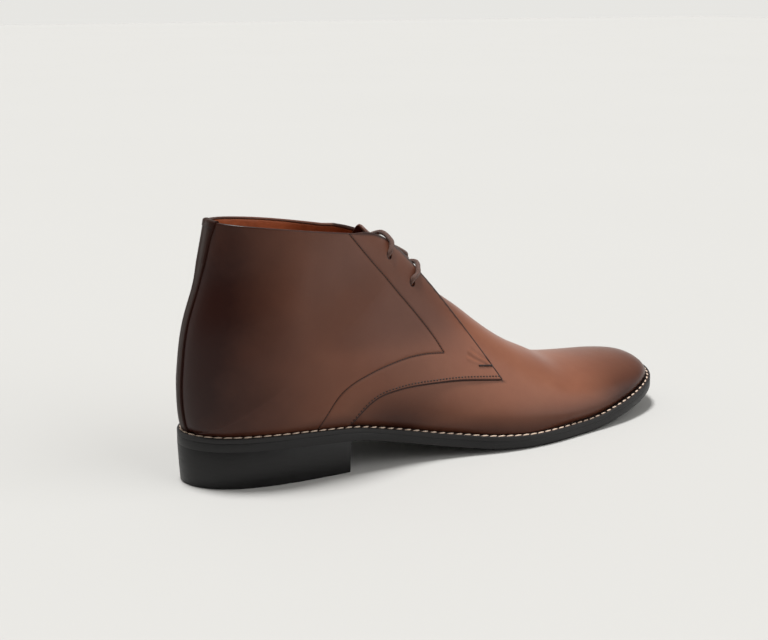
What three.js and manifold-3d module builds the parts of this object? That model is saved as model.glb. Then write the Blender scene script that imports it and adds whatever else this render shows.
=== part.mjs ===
// Chukka boot for the right foot: an ankle-high leather boot with two rows of eyelets, standing on
// its sole. Millimetres; +X runs from heel to toe, +Y to the inner side of the foot, +Z up.
// It is built from the heel's back edge, then set with the origin under the middle of the heel.
import * as THREE from "three";
import { mergeVertices } from "three/addons/utils/BufferGeometryUtils.js";
import Module from "manifold-3d";

const wasm = await Module();
wasm.setup();

// Sole
const SOLE_LENGTH = 294;
const BALL_WIDTH = 97;
const HEEL_WIDTH = 64;
const TOE_OFFSET = 4;
const HEEL_HEIGHT = 19.3;
const HEEL_LENGTH = 78;
const HEEL_TAPER = 1;
const BREAST_HOLLOW = 3;
const TOE_SPRING = 12;
const OUTSOLE_THICKNESS = 4;
const WELT_THICKNESS = 2.5;
const WELT_LEDGE = 3.8;
const WELT_WIDTH = 13;
const CLEARANCE = 0.3;

// Upper
const COLLAR_HEIGHT = 128.5;
const COLLAR_LENGTH = 76;
const COLLAR_DROP = 11;
const COLLAR_BOW = 0.25;
const BACK_LEAN = 14.3;
const INSTEP_HEIGHT = 61;
const TOE_HEIGHT = 30;
const LEATHER = 2;
const QUARTER_STEP = 1;
const LASTING_MARGIN = 10;
const THROAT_HEIGHT = 78;
const THROAT_LENGTH = 12;
const THROAT_RISE = 6;

// Insole, tongue and back strip
const INSOLE_THICKNESS = 3;
const TONGUE_THICKNESS = 2;
const TONGUE_WIDTH = 46;
const TONGUE_TOP_WIDTH = 34;
const TONGUE_RISE = 1;
const TONGUE_TUCK = 14;
const STRIP_THICKNESS = 0.8;
const STRIP_TOP_WIDTH = 12;
const STRIP_FOOT_WIDTH = 7;
const STRIP_FOLD = 8;

// Laces
const LACE_DIAMETER = 2.6;
const EYELET_DIAMETER = 4;
const LACE_SLACK = 0.2;
const LACE_STEP = 2;
const LACE_SEGMENTS = 4;
const EYELET_SIDES = 10;

// The sole's underside from heel to toe, as shares of the heel's height and of the toe spring.
const UNDERSIDE = [
  { along: 0, heel: 1, toe: 0 },
  { along: 0.14, heel: 0.955, toe: 0 },
  { along: 0.26, heel: 0.86, toe: 0 },
  { along: 0.35, heel: 0.61, toe: 0 },
  { along: 0.45, heel: 0.3, toe: 0 },
  { along: 0.55, heel: 0.075, toe: 0 },
  { along: 0.63, heel: 0, toe: 0 },
  { along: 0.74, heel: 0, toe: 0 },
  { along: 0.86, heel: 0, toe: 0.37 },
  { along: 1, heel: 0, toe: 1 },
];

// Shares of the sole's length: where its middle line starts to bend inwards, and where its width
// grows from the heel's to the ball's.
const BEND_START = 0.3;
const WIDENING = { from: 0.27, to: 0.62 };

// The sole's plan: distances from its middle line to the outer and inner edge, as shares of the
// half width there, which grows from the heel's to the ball's.
const PLAN = [
  { along: 0, outer: 0, inner: 0 },
  { along: 0.014, outer: 0.38, inner: 0.36 },
  { along: 0.041, outer: 0.63, inner: 0.6 },
  { along: 0.095, outer: 0.85, inner: 0.82 },
  { along: 0.17, outer: 0.965, inner: 0.92 },
  { along: 0.26, outer: 1, inner: 0.92 },
  { along: 0.36, outer: 0.97, inner: 0.83 },
  { along: 0.46, outer: 0.97, inner: 0.71 },
  { along: 0.55, outer: 1.02, inner: 0.73 },
  { along: 0.64, outer: 1.045, inner: 0.86 },
  { along: 0.74, outer: 0.99, inner: 0.89 },
  { along: 0.83, outer: 0.91, inner: 0.8 },
  { along: 0.91, outer: 0.75, inner: 0.63 },
  { along: 0.96, outer: 0.56, inner: 0.44 },
  { along: 0.988, outer: 0.325, inner: 0.25 },
  { along: 1, outer: 0, inner: 0 },
];

// The heel's back, from the sole up to the collar: its lean as a share of the lean at the collar.
const BACK = [
  { rise: 0, lean: 0 },
  { rise: 0.065, lean: -0.077 },
  { rise: 0.13, lean: -0.133 },
  { rise: 0.21, lean: -0.14 },
  { rise: 0.33, lean: -0.084 },
  { rise: 0.4, lean: -0.035 },
  { rise: 0.5, lean: 0.09 },
  { rise: 0.6, lean: 0.3 },
  { rise: 0.7, lean: 0.535 },
  { rise: 0.85, lean: 0.775 },
  { rise: 1, lean: 1 },
  { rise: 1.08, lean: 1.09 },
];

// The ridge from the collar's front down the instep to the toe: its height as a share of a named one.
const RIDGE = [
  { ahead: 0, up: 1.033, of: COLLAR_HEIGHT },
  { ahead: 0.0584, up: 0.943, of: COLLAR_HEIGHT },
  { ahead: 0.1397, up: 0.831, of: COLLAR_HEIGHT },
  { ahead: 0.2388, up: 0.685, of: COLLAR_HEIGHT },
  { ahead: 0.3404, up: 1.146, of: INSTEP_HEIGHT },
  { ahead: 0.3963, up: 1, of: INSTEP_HEIGHT },
  { ahead: 0.4553, up: 0.862, of: INSTEP_HEIGHT },
  { ahead: 0.5132, up: 0.751, of: INSTEP_HEIGHT },
  { ahead: 0.5742, up: 0.659, of: INSTEP_HEIGHT },
  { ahead: 0.6402, up: 1.15, of: TOE_HEIGHT },
  { ahead: 0.7215, up: 1.058, of: TOE_HEIGHT },
  { ahead: 0.8069, up: 1, of: TOE_HEIGHT },
  { ahead: 0.8841, up: 0.955, of: TOE_HEIGHT },
  { ahead: 0.94, up: 0.89, of: TOE_HEIGHT },
  { ahead: 0.9756, up: 0.8, of: TOE_HEIGHT },
];

// Sections of the upper, fanned from the toe to the collar. Each runs from the sole (foot: share
// from heel to toe) or from the heel's back (rise) to the ridge (ahead). outer and inner are its
// greatest half widths, as shares of the heel's; at the toe the sole line's own width holds instead.
// widest is the share of its length where it is widest, top how full it is above that.
// TOE_BLEND: shares of the foot line between which the table's widths take over from the toe's.
const TOE_BLEND = { from: 0.95, to: 0.7 };
const SECTIONS = [
  { foot: 1, rise: 0, ahead: 1, outer: 1.2, inner: 1.1, widest: 0.1, top: 1.9 },
  { foot: 0.992, rise: 0, ahead: 0.9964, outer: 1.2, inner: 1.1, widest: 0.1, top: 1.9 },
  { foot: 0.973, rise: 0, ahead: 0.9873, outer: 1.2, inner: 1.1, widest: 0.1, top: 1.75 },
  { foot: 0.935, rise: 0, ahead: 0.955, outer: 1.2, inner: 1.1, widest: 0.11, top: 1.65 },
  { foot: 0.872, rise: 0, ahead: 0.874, outer: 1.26, inner: 1.1, widest: 0.13, top: 1.6 },
  { foot: 0.789, rise: 0, ahead: 0.757, outer: 1.39, inner: 1.23, widest: 0.15, top: 1.6 },
  { foot: 0.691, rise: 0, ahead: 0.63, outer: 1.48, inner: 1.27, widest: 0.17, top: 1.65 },
  { foot: 0.587, rise: 0, ahead: 0.513, outer: 1.45, inner: 1.2, widest: 0.18, top: 1.7 },
  { foot: 0.476, rise: 0, ahead: 0.417, outer: 1.26, inner: 1.09, widest: 0.18, top: 1.65 },
  { foot: 0.364, rise: 0, ahead: 0.34, outer: 1.07, inner: 1.01, widest: 0.19, top: 1.7 },
  { foot: 0.253, rise: 0, ahead: 0.28, outer: 0.995, inner: 0.97, widest: 0.2, top: 1.75 },
  { foot: 0.149, rise: 0, ahead: 0.229, outer: 0.97, inner: 0.955, widest: 0.21, top: 1.8 },
  { foot: 0.065, rise: 0, ahead: 0.19, outer: 0.96, inner: 0.95, widest: 0.24, top: 1.85 },
  { foot: 0.02, rise: 0, ahead: 0.168, outer: 0.955, inner: 0.945, widest: 0.27, top: 1.9 },
  { foot: 0, rise: 0, ahead: 0.15, outer: 0.95, inner: 0.94, widest: 0.3, top: 1.95 },
  { foot: 0, rise: 0.2, ahead: 0.122, outer: 0.92, inner: 0.91, widest: 0.36, top: 2 },
  { foot: 0, rise: 0.4, ahead: 0.094, outer: 0.86, inner: 0.86, widest: 0.42, top: 2 },
  { foot: 0, rise: 0.6, ahead: 0.068, outer: 0.78, inner: 0.78, widest: 0.46, top: 2 },
  { foot: 0, rise: 0.8, ahead: 0.043, outer: 0.72, inner: 0.72, widest: 0.48, top: 2 },
  { foot: 0, rise: 1, ahead: 0.018, outer: 0.69, inner: 0.69, widest: 0.5, top: 2 },
  { foot: 0, rise: 1.08, ahead: 0, outer: 0.68, inner: 0.68, widest: 0.5, top: 2 },
];
const SECTION_STEPS = [4, 3, 3, 3, 3, 2, 2, 2, 2, 2, 2, 2, 2, 2, 2, 2, 2, 2, 2, 1];
const LOW_STEPS = 4;
const HIGH_STEPS = 9;
const OUTLINE_STEPS = 44;
const EDGE_STEPS = 10;

// Side view of the quarters: the facing's front edge from the collar down to the corner on the
// vamp, then the lower edge curving back down to the sole. Shares of the sole's length and the
// collar's height.
const FACING = [
  { along: 0.322, up: 0.92 },
  { along: 0.346, up: 0.907 },
  { along: 0.373, up: 0.882 },
  { along: 0.398, up: 0.846 },
  { along: 0.424, up: 0.797 },
  { along: 0.448, up: 0.738 },
  { along: 0.479, up: 0.65 },
  { along: 0.505, up: 0.562 },
  { along: 0.529, up: 0.474 },
  { along: 0.55, up: 0.384 },
  { along: 0.57, up: 0.275 },
];
const QUARTER_EDGE = [
  { along: 0.57, up: 0.275 },
  { along: 0.495, up: 0.293 },
  { along: 0.444, up: 0.3 },
  { along: 0.397, up: 0.303 },
  { along: 0.36, up: 0.299 },
  { along: 0.329, up: 0.288 },
  { along: 0.309, up: 0.269 },
  { along: 0.291, up: 0.24 },
  { along: 0.272, up: 0.189 },
  { along: 0.262, up: 0.15 },
];

// Eyelets on each facing, by shares of the sole's length and the collar's height, the way from there
// to the lace bar's shoulder over the facing's edge, and its crest: a place on the ridge and the
// height over it.
const EYELETS = [
  { along: 0.376, up: 0.807, shoulderAhead: 2.6, shoulderUp: 6, crest: 0.098, over: 0.7 },
  { along: 0.423, up: 0.682, shoulderAhead: 4, shoulderUp: 5.6, crest: 0.194, over: 2.2 },
];

// Half of the crossing: a lace from one facing to the other, between the rows of eyelets, by places
// on the ridge, distances to the side and heights over the ridge.
const LACE_CROSSING = [
  { ahead: 0.128, across: -4, over: 0.8 },
  { ahead: 0.15, across: 0, over: 0.9 },
  { ahead: 0.172, across: 4, over: 0.8 },
];

const mix = (a, b, t) => a + (b - a) * t;
const ease = (t) => {
  const c = Math.min(1, Math.max(0, t));
  return c * c * (3 - 2 * c);
};

// A smooth curve through a table's rows that never swings past them: value of one column at a key.
function follow(rows, key, column, at) {
  const x = rows.map((row) => row[key]);
  const y = rows.map((row) => row[column]);
  const last = x.length - 1;
  const rising = x[last] > x[0] ? 1 : -1;
  let i = 0;
  while (i < last - 1 && (at - x[i + 1]) * rising > 0) {
    i += 1;
  }
  const slope = (k) => (y[k + 1] - y[k]) / (x[k + 1] - x[k]);
  const tangent = (k) => {
    if (k === 0) {
      return slope(0);
    }
    if (k === last) {
      return slope(last - 1);
    }
    const before = slope(k - 1);
    const after = slope(k);
    return before * after <= 0 ? 0 : (2 * before * after) / (before + after);
  };
  const h = x[i + 1] - x[i];
  const t = Math.min(1, Math.max(0, (at - x[i]) / h));
  const u = 1 - t;
  const start = y[i] * (1 + 2 * t) * u * u + h * tangent(i) * t * u * u;
  const end = y[i + 1] * (3 - 2 * t) * t * t - h * tangent(i + 1) * u * t * t;
  return start + end;
}

// Heights of the sole's layers at a place along it.
function underside(x) {
  const along = x / SOLE_LENGTH;
  const heel = follow(UNDERSIDE, "along", "heel", along);
  const toe = follow(UNDERSIDE, "along", "toe", along);
  return heel * HEEL_HEIGHT + toe * TOE_SPRING;
}
const weltFloor = (x) => underside(x) + OUTSOLE_THICKNESS + CLEARANCE;
const weltTop = (x) => weltFloor(x) + WELT_THICKNESS;
const footLine = (x) => weltTop(x) + CLEARANCE;
const insoleFloor = (x) => footLine(x) + LEATHER + CLEARANCE;

const middle = (x) => TOE_OFFSET * ease((x / SOLE_LENGTH - BEND_START) / (1 - BEND_START));
const localHalf = (x) => {
  const share = ease((x / SOLE_LENGTH - WIDENING.from) / (WIDENING.to - WIDENING.from));
  return mix(HEEL_WIDTH, BALL_WIDTH, share) / 2;
};

// The sole's edge moved inwards by an amount, as matching points of the outer and inner side.
const TINY_TURN = 1e-3;
const PLAN_TURNS = PLAN.map((row) => ({ ...row, turn: Math.acos(1 - 2 * row.along) }));
function outline(inset) {
  const at = (side, turn) => {
    const x = (SOLE_LENGTH * (1 - Math.cos(turn))) / 2;
    const width = follow(PLAN_TURNS, "turn", side, turn) * localHalf(x);
    const sign = side === "outer" ? -1 : 1;
    return new THREE.Vector2(x, middle(x) + sign * width);
  };
  const trace = (side) => {
    const other = side === "outer" ? "inner" : "outer";
    const points = [];
    for (let i = 0; i <= OUTLINE_STEPS; i += 1) {
      const turn = (Math.PI * i) / OUTLINE_STEPS;
      const before = turn < TINY_TURN ? at(other, TINY_TURN) : at(side, turn - TINY_TURN);
      const pastEnd = Math.PI - turn < TINY_TURN;
      const after = pastEnd ? at(other, Math.PI - TINY_TURN) : at(side, turn + TINY_TURN);
      const run = after.sub(before).normalize();
      const inward = side === "outer" ? new THREE.Vector2(-run.y, run.x) : new THREE.Vector2(run.y, -run.x);
      points.push(at(side, turn).addScaledVector(inward, inset));
    }
    return points;
  };
  return { outer: trace("outer"), inner: trace("inner") };
}

// Where the upper meets the welt, on one side at a place along the sole.
const FOOT_OUTLINE = outline(WELT_LEDGE);
function footEdge(side, x) {
  const points = FOOT_OUTLINE[side];
  let i = 0;
  while (i < points.length - 2 && points[i + 1].x < x) {
    i += 1;
  }
  const share = Math.min(1, Math.max(0, (x - points[i].x) / (points[i + 1].x - points[i].x)));
  return mix(points[i].y, points[i + 1].y, share);
}

// Side view of the upper: its foot, back and ridge.
const FOOT_BACK = FOOT_OUTLINE.outer[0].x;
const FOOT_TIP = FOOT_OUTLINE.outer[OUTLINE_STEPS].x;
const COLLAR_FRONT = WELT_LEDGE + BACK_LEAN + COLLAR_LENGTH;
const RIDGE_LINE = [
  ...RIDGE.map((row) => ({ ahead: row.ahead, height: row.up * row.of })),
  { ahead: 1, height: footLine(FOOT_TIP) },
];
const backHeight = (rise) => mix(footLine(FOOT_BACK), COLLAR_HEIGHT, rise);
const backPlace = (rise) => FOOT_BACK + BACK_LEAN * follow(BACK, "rise", "lean", rise);
const ridgePlace = (ahead) => mix(COLLAR_FRONT, FOOT_TIP, ahead);
const ridgeHeight = (ahead) => follow(RIDGE_LINE, "ahead", "height", ahead);
const RIDGE_PROBE = 0.01;

// A point straight out from the ridge, to one side of its middle.
function overRidge(ahead, across, height) {
  const run = ridgePlace(ahead + RIDGE_PROBE) - ridgePlace(ahead);
  const fall = ridgeHeight(ahead) - ridgeHeight(ahead + RIDGE_PROBE);
  const out = new THREE.Vector3(fall, 0, run).normalize().multiplyScalar(height);
  const x = ridgePlace(ahead);
  return new THREE.Vector3(x, middle(x) + across, ridgeHeight(ahead)).add(out);
}

// The two ends of a section in side view.
function sectionEnds(row) {
  const footX = mix(FOOT_BACK, FOOT_TIP, row.foot);
  const from = row.rise > 0
    ? new THREE.Vector3(backPlace(row.rise), 0, backHeight(row.rise))
    : new THREE.Vector3(footX, 0, footLine(footX));
  const to = new THREE.Vector3(ridgePlace(row.ahead), 0, ridgeHeight(row.ahead));
  return { from, to };
}

const sectionShare = (foot) => ease((TOE_BLEND.from - foot) / (TOE_BLEND.from - TOE_BLEND.to));

// A section's half width at a share of the way from its foot to the ridge.
function halfWidth(row, side, share) {
  const footX = mix(FOOT_BACK, FOOT_TIP, row.foot);
  const open = row.rise === 0 && row.foot > 0 && row.foot < 1;
  const foot = open ? Math.abs(footEdge(side, footX) - middle(footX)) : 0;
  const widest = mix(foot, (row[side] * HEEL_WIDTH) / 2, sectionShare(row.foot));
  if (share < row.widest) {
    const low = 1 - share / row.widest;
    return Math.sqrt(widest ** 2 - low ** 2 * (widest ** 2 - foot ** 2));
  }
  const high = Math.min(1, (share - row.widest) / (1 - row.widest));
  return widest * Math.sqrt(1 - high ** row.top);
}

// The points of one section, from the outer foot over the ridge to the inner foot.
function sectionPoints(row) {
  const { from, to } = sectionEnds(row);
  const shares = [];
  for (let i = 0; i < LOW_STEPS; i += 1) {
    shares.push(row.widest * (1 - Math.cos((Math.PI / 2) * (i / LOW_STEPS))));
  }
  for (let i = 0; i <= HIGH_STEPS; i += 1) {
    shares.push(mix(row.widest, 1, Math.sin((Math.PI / 2) * (i / HIGH_STEPS)) ** (2 / row.top)));
  }
  const trace = (side, sign) => shares.map((share) => {
    const point = from.clone().lerp(to, share);
    point.y = middle(point.x) + sign * halfWidth(row, side, share);
    return point;
  });
  return [...trace("outer", -1), ...trace("inner", 1).reverse().slice(1)];
}

// The section at a place between the rows of the table.
const SECTION_LIST = SECTIONS.map((row, index) => ({ ...row, index }));
function sectionAt(place) {
  const columns = ["foot", "rise", "ahead", "outer", "inner", "widest", "top"];
  const read = (column) => [column, follow(SECTION_LIST, "index", column, place)];
  return Object.fromEntries(columns.map(read));
}

// All sections, closest together at the toe.
function sectionRows() {
  const places = [];
  SECTION_STEPS.forEach((steps, index) => {
    for (let i = 0; i < steps; i += 1) {
      places.push(index + (index === 0 ? (i / steps) ** 2 : i / steps));
    }
  });
  places.push(SECTIONS.length - 1);
  return places.map(sectionAt);
}

// The point of the form's outer or inner side that shows at a place of the side view, and the
// direction straight out of it.
const FINE = 1e-5;
const PROBE = 0.2;
function surfaceAt(side, x, z) {
  let low = 0;
  let high = SECTIONS.length - 1;
  const read = (row) => {
    const { from, to } = sectionEnds(row);
    const run = to.clone().sub(from);
    const reach = new THREE.Vector3(x, 0, z).sub(from);
    return { behind: run.x * reach.z - run.z * reach.x, share: reach.dot(run) / run.lengthSq() };
  };
  while (high - low > FINE) {
    const place = (low + high) / 2;
    if (read(sectionAt(place)).behind > 0) {
      low = place;
    } else {
      high = place;
    }
  }
  const row = sectionAt(low);
  const sign = side === "outer" ? -1 : 1;
  return middle(x) + sign * halfWidth(row, side, read(row).share);
}
function onSurface(side, x, z, lift) {
  const sign = side === "outer" ? -1 : 1;
  const slopeX = (surfaceAt(side, x + PROBE, z) - surfaceAt(side, x - PROBE, z)) / (2 * PROBE);
  const slopeZ = (surfaceAt(side, x, z + PROBE) - surfaceAt(side, x, z - PROBE)) / (2 * PROBE);
  const out = new THREE.Vector3(-slopeX, 1, -slopeZ).multiplyScalar(sign).normalize();
  const point = new THREE.Vector3(x, surfaceAt(side, x, z), z).addScaledVector(out, lift);
  return { point, out };
}

// A mesh under way: points that coincide are shared, and flat slivers are left out.
class Shell {
  constructor() {
    this.points = [];
    this.faces = [];
    this.known = new Map();
  }
  point(p) {
    const key = [p.x, p.y, p.z].map((value) => Math.round(value * 1e4)).join(" ");
    if (!this.known.has(key)) {
      this.known.set(key, this.points.length);
      this.points.push(p.clone());
    }
    return this.known.get(key);
  }
  triangle(a, b, c) {
    if (a !== b && b !== c && c !== a) {
      this.faces.push([a, b, c]);
    }
  }
  quad(a, b, c, d) {
    this.triangle(a, b, c);
    this.triangle(a, c, d);
  }
  normals() {
    const sums = this.points.map(() => new THREE.Vector3());
    this.faces.forEach((face) => {
      const [a, b, c] = face.map((index) => this.points[index]);
      const area = b.clone().sub(a).cross(c.clone().sub(a));
      face.forEach((index) => sums[index].add(area));
    });
    return sums.map((sum) => sum.normalize());
  }
  solid() {
    return solidFrom(this.points.flatMap((p) => p.toArray()), this.faces.flat());
  }
}

function solidFrom(positions, triangles) {
  const vertProperties = new Float32Array(positions);
  const triVerts = new Uint32Array(triangles);
  return new wasm.Manifold(new wasm.Mesh({ numProp: 3, vertProperties, triVerts }));
}

// A solid from a library geometry.
function solidOf(geometry) {
  geometry.deleteAttribute("normal");
  geometry.deleteAttribute("uv");
  const merged = mergeVertices(geometry, 1e-4);
  return solidFrom(merged.attributes.position.array, merged.index.array);
}

// The form of the last, grown outwards or, with a negative amount, inwards.
const ROWS = sectionRows();
function lastForm(grow) {
  const shell = new Shell();
  const rings = ROWS.map((row) => sectionPoints(row).map((p) => shell.point(p)));
  const count = rings[0].length;
  for (let i = 0; i + 1 < rings.length; i += 1) {
    for (let k = 0; k + 1 < count; k += 1) {
      shell.quad(rings[i][k], rings[i][k + 1], rings[i + 1][k + 1], rings[i + 1][k]);
    }
  }
  const normals = shell.normals();
  const soleRings = rings.filter((_, i) => ROWS[i].rise === 0);
  const onSole = new Set(soleRings.flatMap((ring) => [ring[0], ring[count - 1]]));
  shell.points.forEach((p, index) => {
    p.addScaledVector(normals[index], grow);
    if (onSole.has(index)) {
      p.z = footLine(p.x);
    }
  });
  rings.forEach((ring, i) => {
    if (i + 1 < rings.length) {
      const next = rings[i + 1];
      shell.quad(ring[0], next[0], next[count - 1], ring[count - 1]);
    }
  });
  const top = rings[rings.length - 1];
  const centre = new THREE.Vector3();
  top.forEach((index) => centre.addScaledVector(shell.points[index], 1 / count));
  const hub = shell.points.push(centre) - 1;
  for (let k = 0; k + 1 < count; k += 1) {
    shell.triangle(top[k], top[k + 1], hub);
  }
  return shell.solid();
}

// A layer of the sole between two heights, its lower and upper edge following two outlines.
function soleLayer(low, high, floor, ceiling) {
  const shell = new Shell();
  const place = (points, height) => points.map((p) => {
    return shell.point(new THREE.Vector3(p.x, p.y, height(p.x)));
  });
  const lowOuter = place(low.outer, floor);
  const lowInner = place(low.inner, floor);
  const highOuter = place(high.outer, ceiling);
  const highInner = place(high.inner, ceiling);
  for (let i = 0; i < OUTLINE_STEPS; i += 1) {
    const j = i + 1;
    shell.quad(lowOuter[i], lowInner[i], lowInner[j], lowOuter[j]);
    shell.quad(highOuter[i], highOuter[j], highInner[j], highInner[i]);
    shell.quad(lowOuter[i], lowOuter[j], highOuter[j], highOuter[i]);
    shell.quad(lowInner[i], highInner[i], highInner[j], lowInner[j]);
  }
  return shell.solid();
}

// Prisms through the whole boot: a side view outline pushed across it, one seen from behind pushed
// along it, and one seen from above pushed up through it.
const REACH = 2 * SOLE_LENGTH;
function prism(points, right, up, through) {
  const shape = new THREE.Shape(points.map(([a, b]) => new THREE.Vector2(a, b)));
  const geometry = new THREE.ExtrudeGeometry(shape, { depth: REACH, bevelEnabled: false });
  geometry.translate(0, 0, -REACH / 2);
  geometry.applyMatrix4(new THREE.Matrix4().makeBasis(right, up, through));
  return solidOf(geometry);
}
const X = new THREE.Vector3(1, 0, 0);
const Y = new THREE.Vector3(0, 1, 0);
const Z = new THREE.Vector3(0, 0, 1);
const acrossPrism = (points) => prism(points, X, Z, Y.clone().negate());
const alongPrism = (points) => prism(points, Y, Z, X);
const uprightPrism = (points) => prism(points, X, Y, Z);

// Everything above or below a line drawn along the sole in side view.
const LINE_STEPS = 32;
function lineAlong(line) {
  return Array.from({ length: LINE_STEPS + 1 }, (_, i) => {
    const x = mix(-HEEL_HEIGHT, SOLE_LENGTH + HEEL_HEIGHT, i / LINE_STEPS);
    return [x, line(x)];
  });
}
function lineTo(line, height) {
  const points = lineAlong(line);
  return acrossPrism([...points, [points[LINE_STEPS][0], height], [points[0][0], height]]);
}
const above = (line) => lineTo(line, REACH);
const below = (line) => lineTo(line, -REACH);

// A closed outline of the sole pushed straight up through the boot.
function footprint(inset) {
  const { outer, inner } = outline(inset);
  return uprightPrism([...outer, ...inner.slice(1, -1).reverse()].map((p) => [p.x, p.y]));
}

// Side view of the collar: its line falls from the back to the facing's rounded top corner.
const COLLAR_BACK = WELT_LEDGE + BACK_LEAN;
const collarLine = (x) => {
  const share = (x - COLLAR_BACK) / COLLAR_LENGTH;
  return COLLAR_HEIGHT - COLLAR_DROP * share * mix(1, share, COLLAR_BOW);
};
const FACING_POINTS = FACING.map((row) => [row.along * SOLE_LENGTH, row.up * COLLAR_HEIGHT]);
const facingPlace = (height) => follow(FACING, "up", "along", height / COLLAR_HEIGHT) * SOLE_LENGTH;
const COLLAR_STEPS = 8;
const collarPoints = Array.from({ length: COLLAR_STEPS }, (_, i) => {
  const x = mix(0, FACING_POINTS[0][0], i / COLLAR_STEPS);
  return [x, collarLine(x)];
});

// Everything under the collar's line, behind the facing's edge and above the quarter's lower edge.
function quarterPrism() {
  const start = QUARTER_EDGE[0].along;
  const end = QUARTER_EDGE[QUARTER_EDGE.length - 1].along;
  const edge = [];
  for (let i = 1; i <= EDGE_STEPS; i += 1) {
    const along = mix(start, end, i / EDGE_STEPS);
    edge.push([along * SOLE_LENGTH, follow(QUARTER_EDGE, "along", "up", along) * COLLAR_HEIGHT]);
  }
  const foot = edge[edge.length - 1][0];
  return acrossPrism([[-REACH / 4, COLLAR_HEIGHT], ...collarPoints, ...FACING_POINTS, ...edge, [foot, 0],
    [-REACH / 4, 0]]);
}

// What is cut away above the collar and between the facings, down to the throat.
function collarPrism() {
  const throatX = facingPlace(THROAT_HEIGHT);
  const edge = FACING_POINTS.filter((point) => point[1] > THROAT_HEIGHT);
  return acrossPrism([[-REACH / 4, collarLine(0)], ...collarPoints, ...edge,
    [throatX, THROAT_HEIGHT], [throatX + THROAT_LENGTH, THROAT_HEIGHT + THROAT_RISE],
    [REACH / 2, THROAT_HEIGHT + THROAT_RISE], [REACH / 2, REACH / 2], [-REACH / 4, REACH / 2]]);
}

function eyeletHole(side, { along, up }) {
  const { point, out } = onSurface(side, along * SOLE_LENGTH, up * COLLAR_HEIGHT, 0);
  const radius = EYELET_DIAMETER / 2;
  const geometry = new THREE.CylinderGeometry(radius, radius, 4 * LEATHER, EYELET_SIDES);
  geometry.applyQuaternion(new THREE.Quaternion().setFromUnitVectors(Y, out));
  geometry.translate(point.x, point.y, point.z);
  return solidOf(geometry);
}

function makeUpper() {
  const room = lastForm(-LEATHER).intersect(above((x) => footLine(x) + LEATHER));
  const quarters = lastForm(QUARTER_STEP).intersect(quarterPrism());
  const opening = footprint(WELT_LEDGE + LASTING_MARGIN).intersect(below((x) => footLine(x) + 2 * LEATHER));
  const holes = EYELETS.flatMap((eyelet) => [eyeletHole("outer", eyelet), eyeletHole("inner", eyelet)]);
  const walled = lastForm(0).add(quarters).subtract(room).subtract(collarPrism()).subtract(opening);
  return holes.reduce((solid, hole) => solid.subtract(hole), walled);
}

// The strip down the heel lies on the upper and folds over the collar to the inside.
function makeBackStrip() {
  const seam = QUARTER_STEP + CLEARANCE;
  const outside = seam + STRIP_THICKNESS;
  const lining = -LEATHER - CLEARANCE;
  const seat = footLine(FOOT_BACK);
  const low = STRIP_FOOT_WIDTH / 2;
  const high = STRIP_TOP_WIDTH / 2;
  const band = alongPrism([[-low, seat], [low, seat], [high, COLLAR_HEIGHT], [high, REACH / 2],
    [-high, REACH / 2], [-high, COLLAR_HEIGHT]]);
  const half = COLLAR_LENGTH / 2;
  const back = acrossPrism([[-REACH, 0], [half, 0], [half, REACH], [-REACH, REACH]]);
  const collar = (raise) => (x) => collarLine(x) + raise;
  const cap = collar(CLEARANCE + STRIP_THICKNESS);
  const leaf = (outer, inner, start) => lastForm(outer).subtract(lastForm(inner))
    .intersect(above(start)).intersect(below(cap)).intersect(band).intersect(back);
  return leaf(outside, seam, () => seat)
    .add(leaf(outside, lining - STRIP_THICKNESS, collar(CLEARANCE)))
    .add(leaf(lining, lining - STRIP_THICKNESS, collar(-STRIP_FOLD)));
}

function makeTongue() {
  const outside = -LEATHER - CLEARANCE;
  const top = COLLAR_HEIGHT - COLLAR_DROP + TONGUE_RISE;
  const foot = THROAT_HEIGHT - TONGUE_TUCK;
  const half = TONGUE_WIDTH / 2;
  const front = acrossPrism([[facingPlace(foot) - half, foot], [REACH / 2, foot], [REACH / 2, top],
    [facingPlace(top) - TONGUE_TUCK / 2, top]]);
  const topHalf = TONGUE_TOP_WIDTH / 2;
  const width = alongPrism([[-half, foot], [half, foot], [topHalf, top], [-topHalf, top]]);
  return lastForm(outside).subtract(lastForm(outside - TONGUE_THICKNESS)).intersect(front).intersect(width);
}

function makeInsole() {
  const line = outline(WELT_LEDGE);
  return soleLayer(line, line, insoleFloor, (x) => insoleFloor(x) + INSOLE_THICKNESS)
    .intersect(lastForm(-LEATHER - CLEARANCE));
}

function makeWelt() {
  const edge = outline(0);
  return soleLayer(edge, edge, weltFloor, weltTop).subtract(footprint(WELT_WIDTH));
}

function makeOutsole() {
  const edge = outline(0);
  return soleLayer(edge, edge, underside, (x) => underside(x) + OUTSOLE_THICKNESS);
}

function makeHeel() {
  const breast = [];
  for (let i = 0; i <= EDGE_STEPS; i += 1) {
    const across = mix(-1, 1, i / EDGE_STEPS);
    breast.push([HEEL_LENGTH - BREAST_HOLLOW * (1 - across * across), (across * HEEL_WIDTH) / 2]);
  }
  const ceiling = (x) => Math.max(OUTSOLE_THICKNESS, underside(x) - CLEARANCE);
  return soleLayer(outline(HEEL_TAPER), outline(0), () => 0, ceiling)
    .intersect(uprightPrism([[-REACH / 4, -HEEL_WIDTH], [HEEL_LENGTH, -HEEL_WIDTH], ...breast,
      [HEEL_LENGTH, HEEL_WIDTH], [-REACH / 4, HEEL_WIDTH]]));
}

// A lace along a smooth curve through its points.
function laceAlong(points) {
  const curve = new THREE.CatmullRomCurve3(points);
  const circle = new THREE.Shape();
  circle.absarc(0, 0, LACE_DIAMETER / 2, 0, 2 * Math.PI);
  const steps = Math.ceil(curve.getLength() / LACE_STEP);
  const settings = { steps, curveSegments: LACE_SEGMENTS, extrudePath: curve };
  return solidOf(new THREE.ExtrudeGeometry(circle, settings));
}

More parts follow.
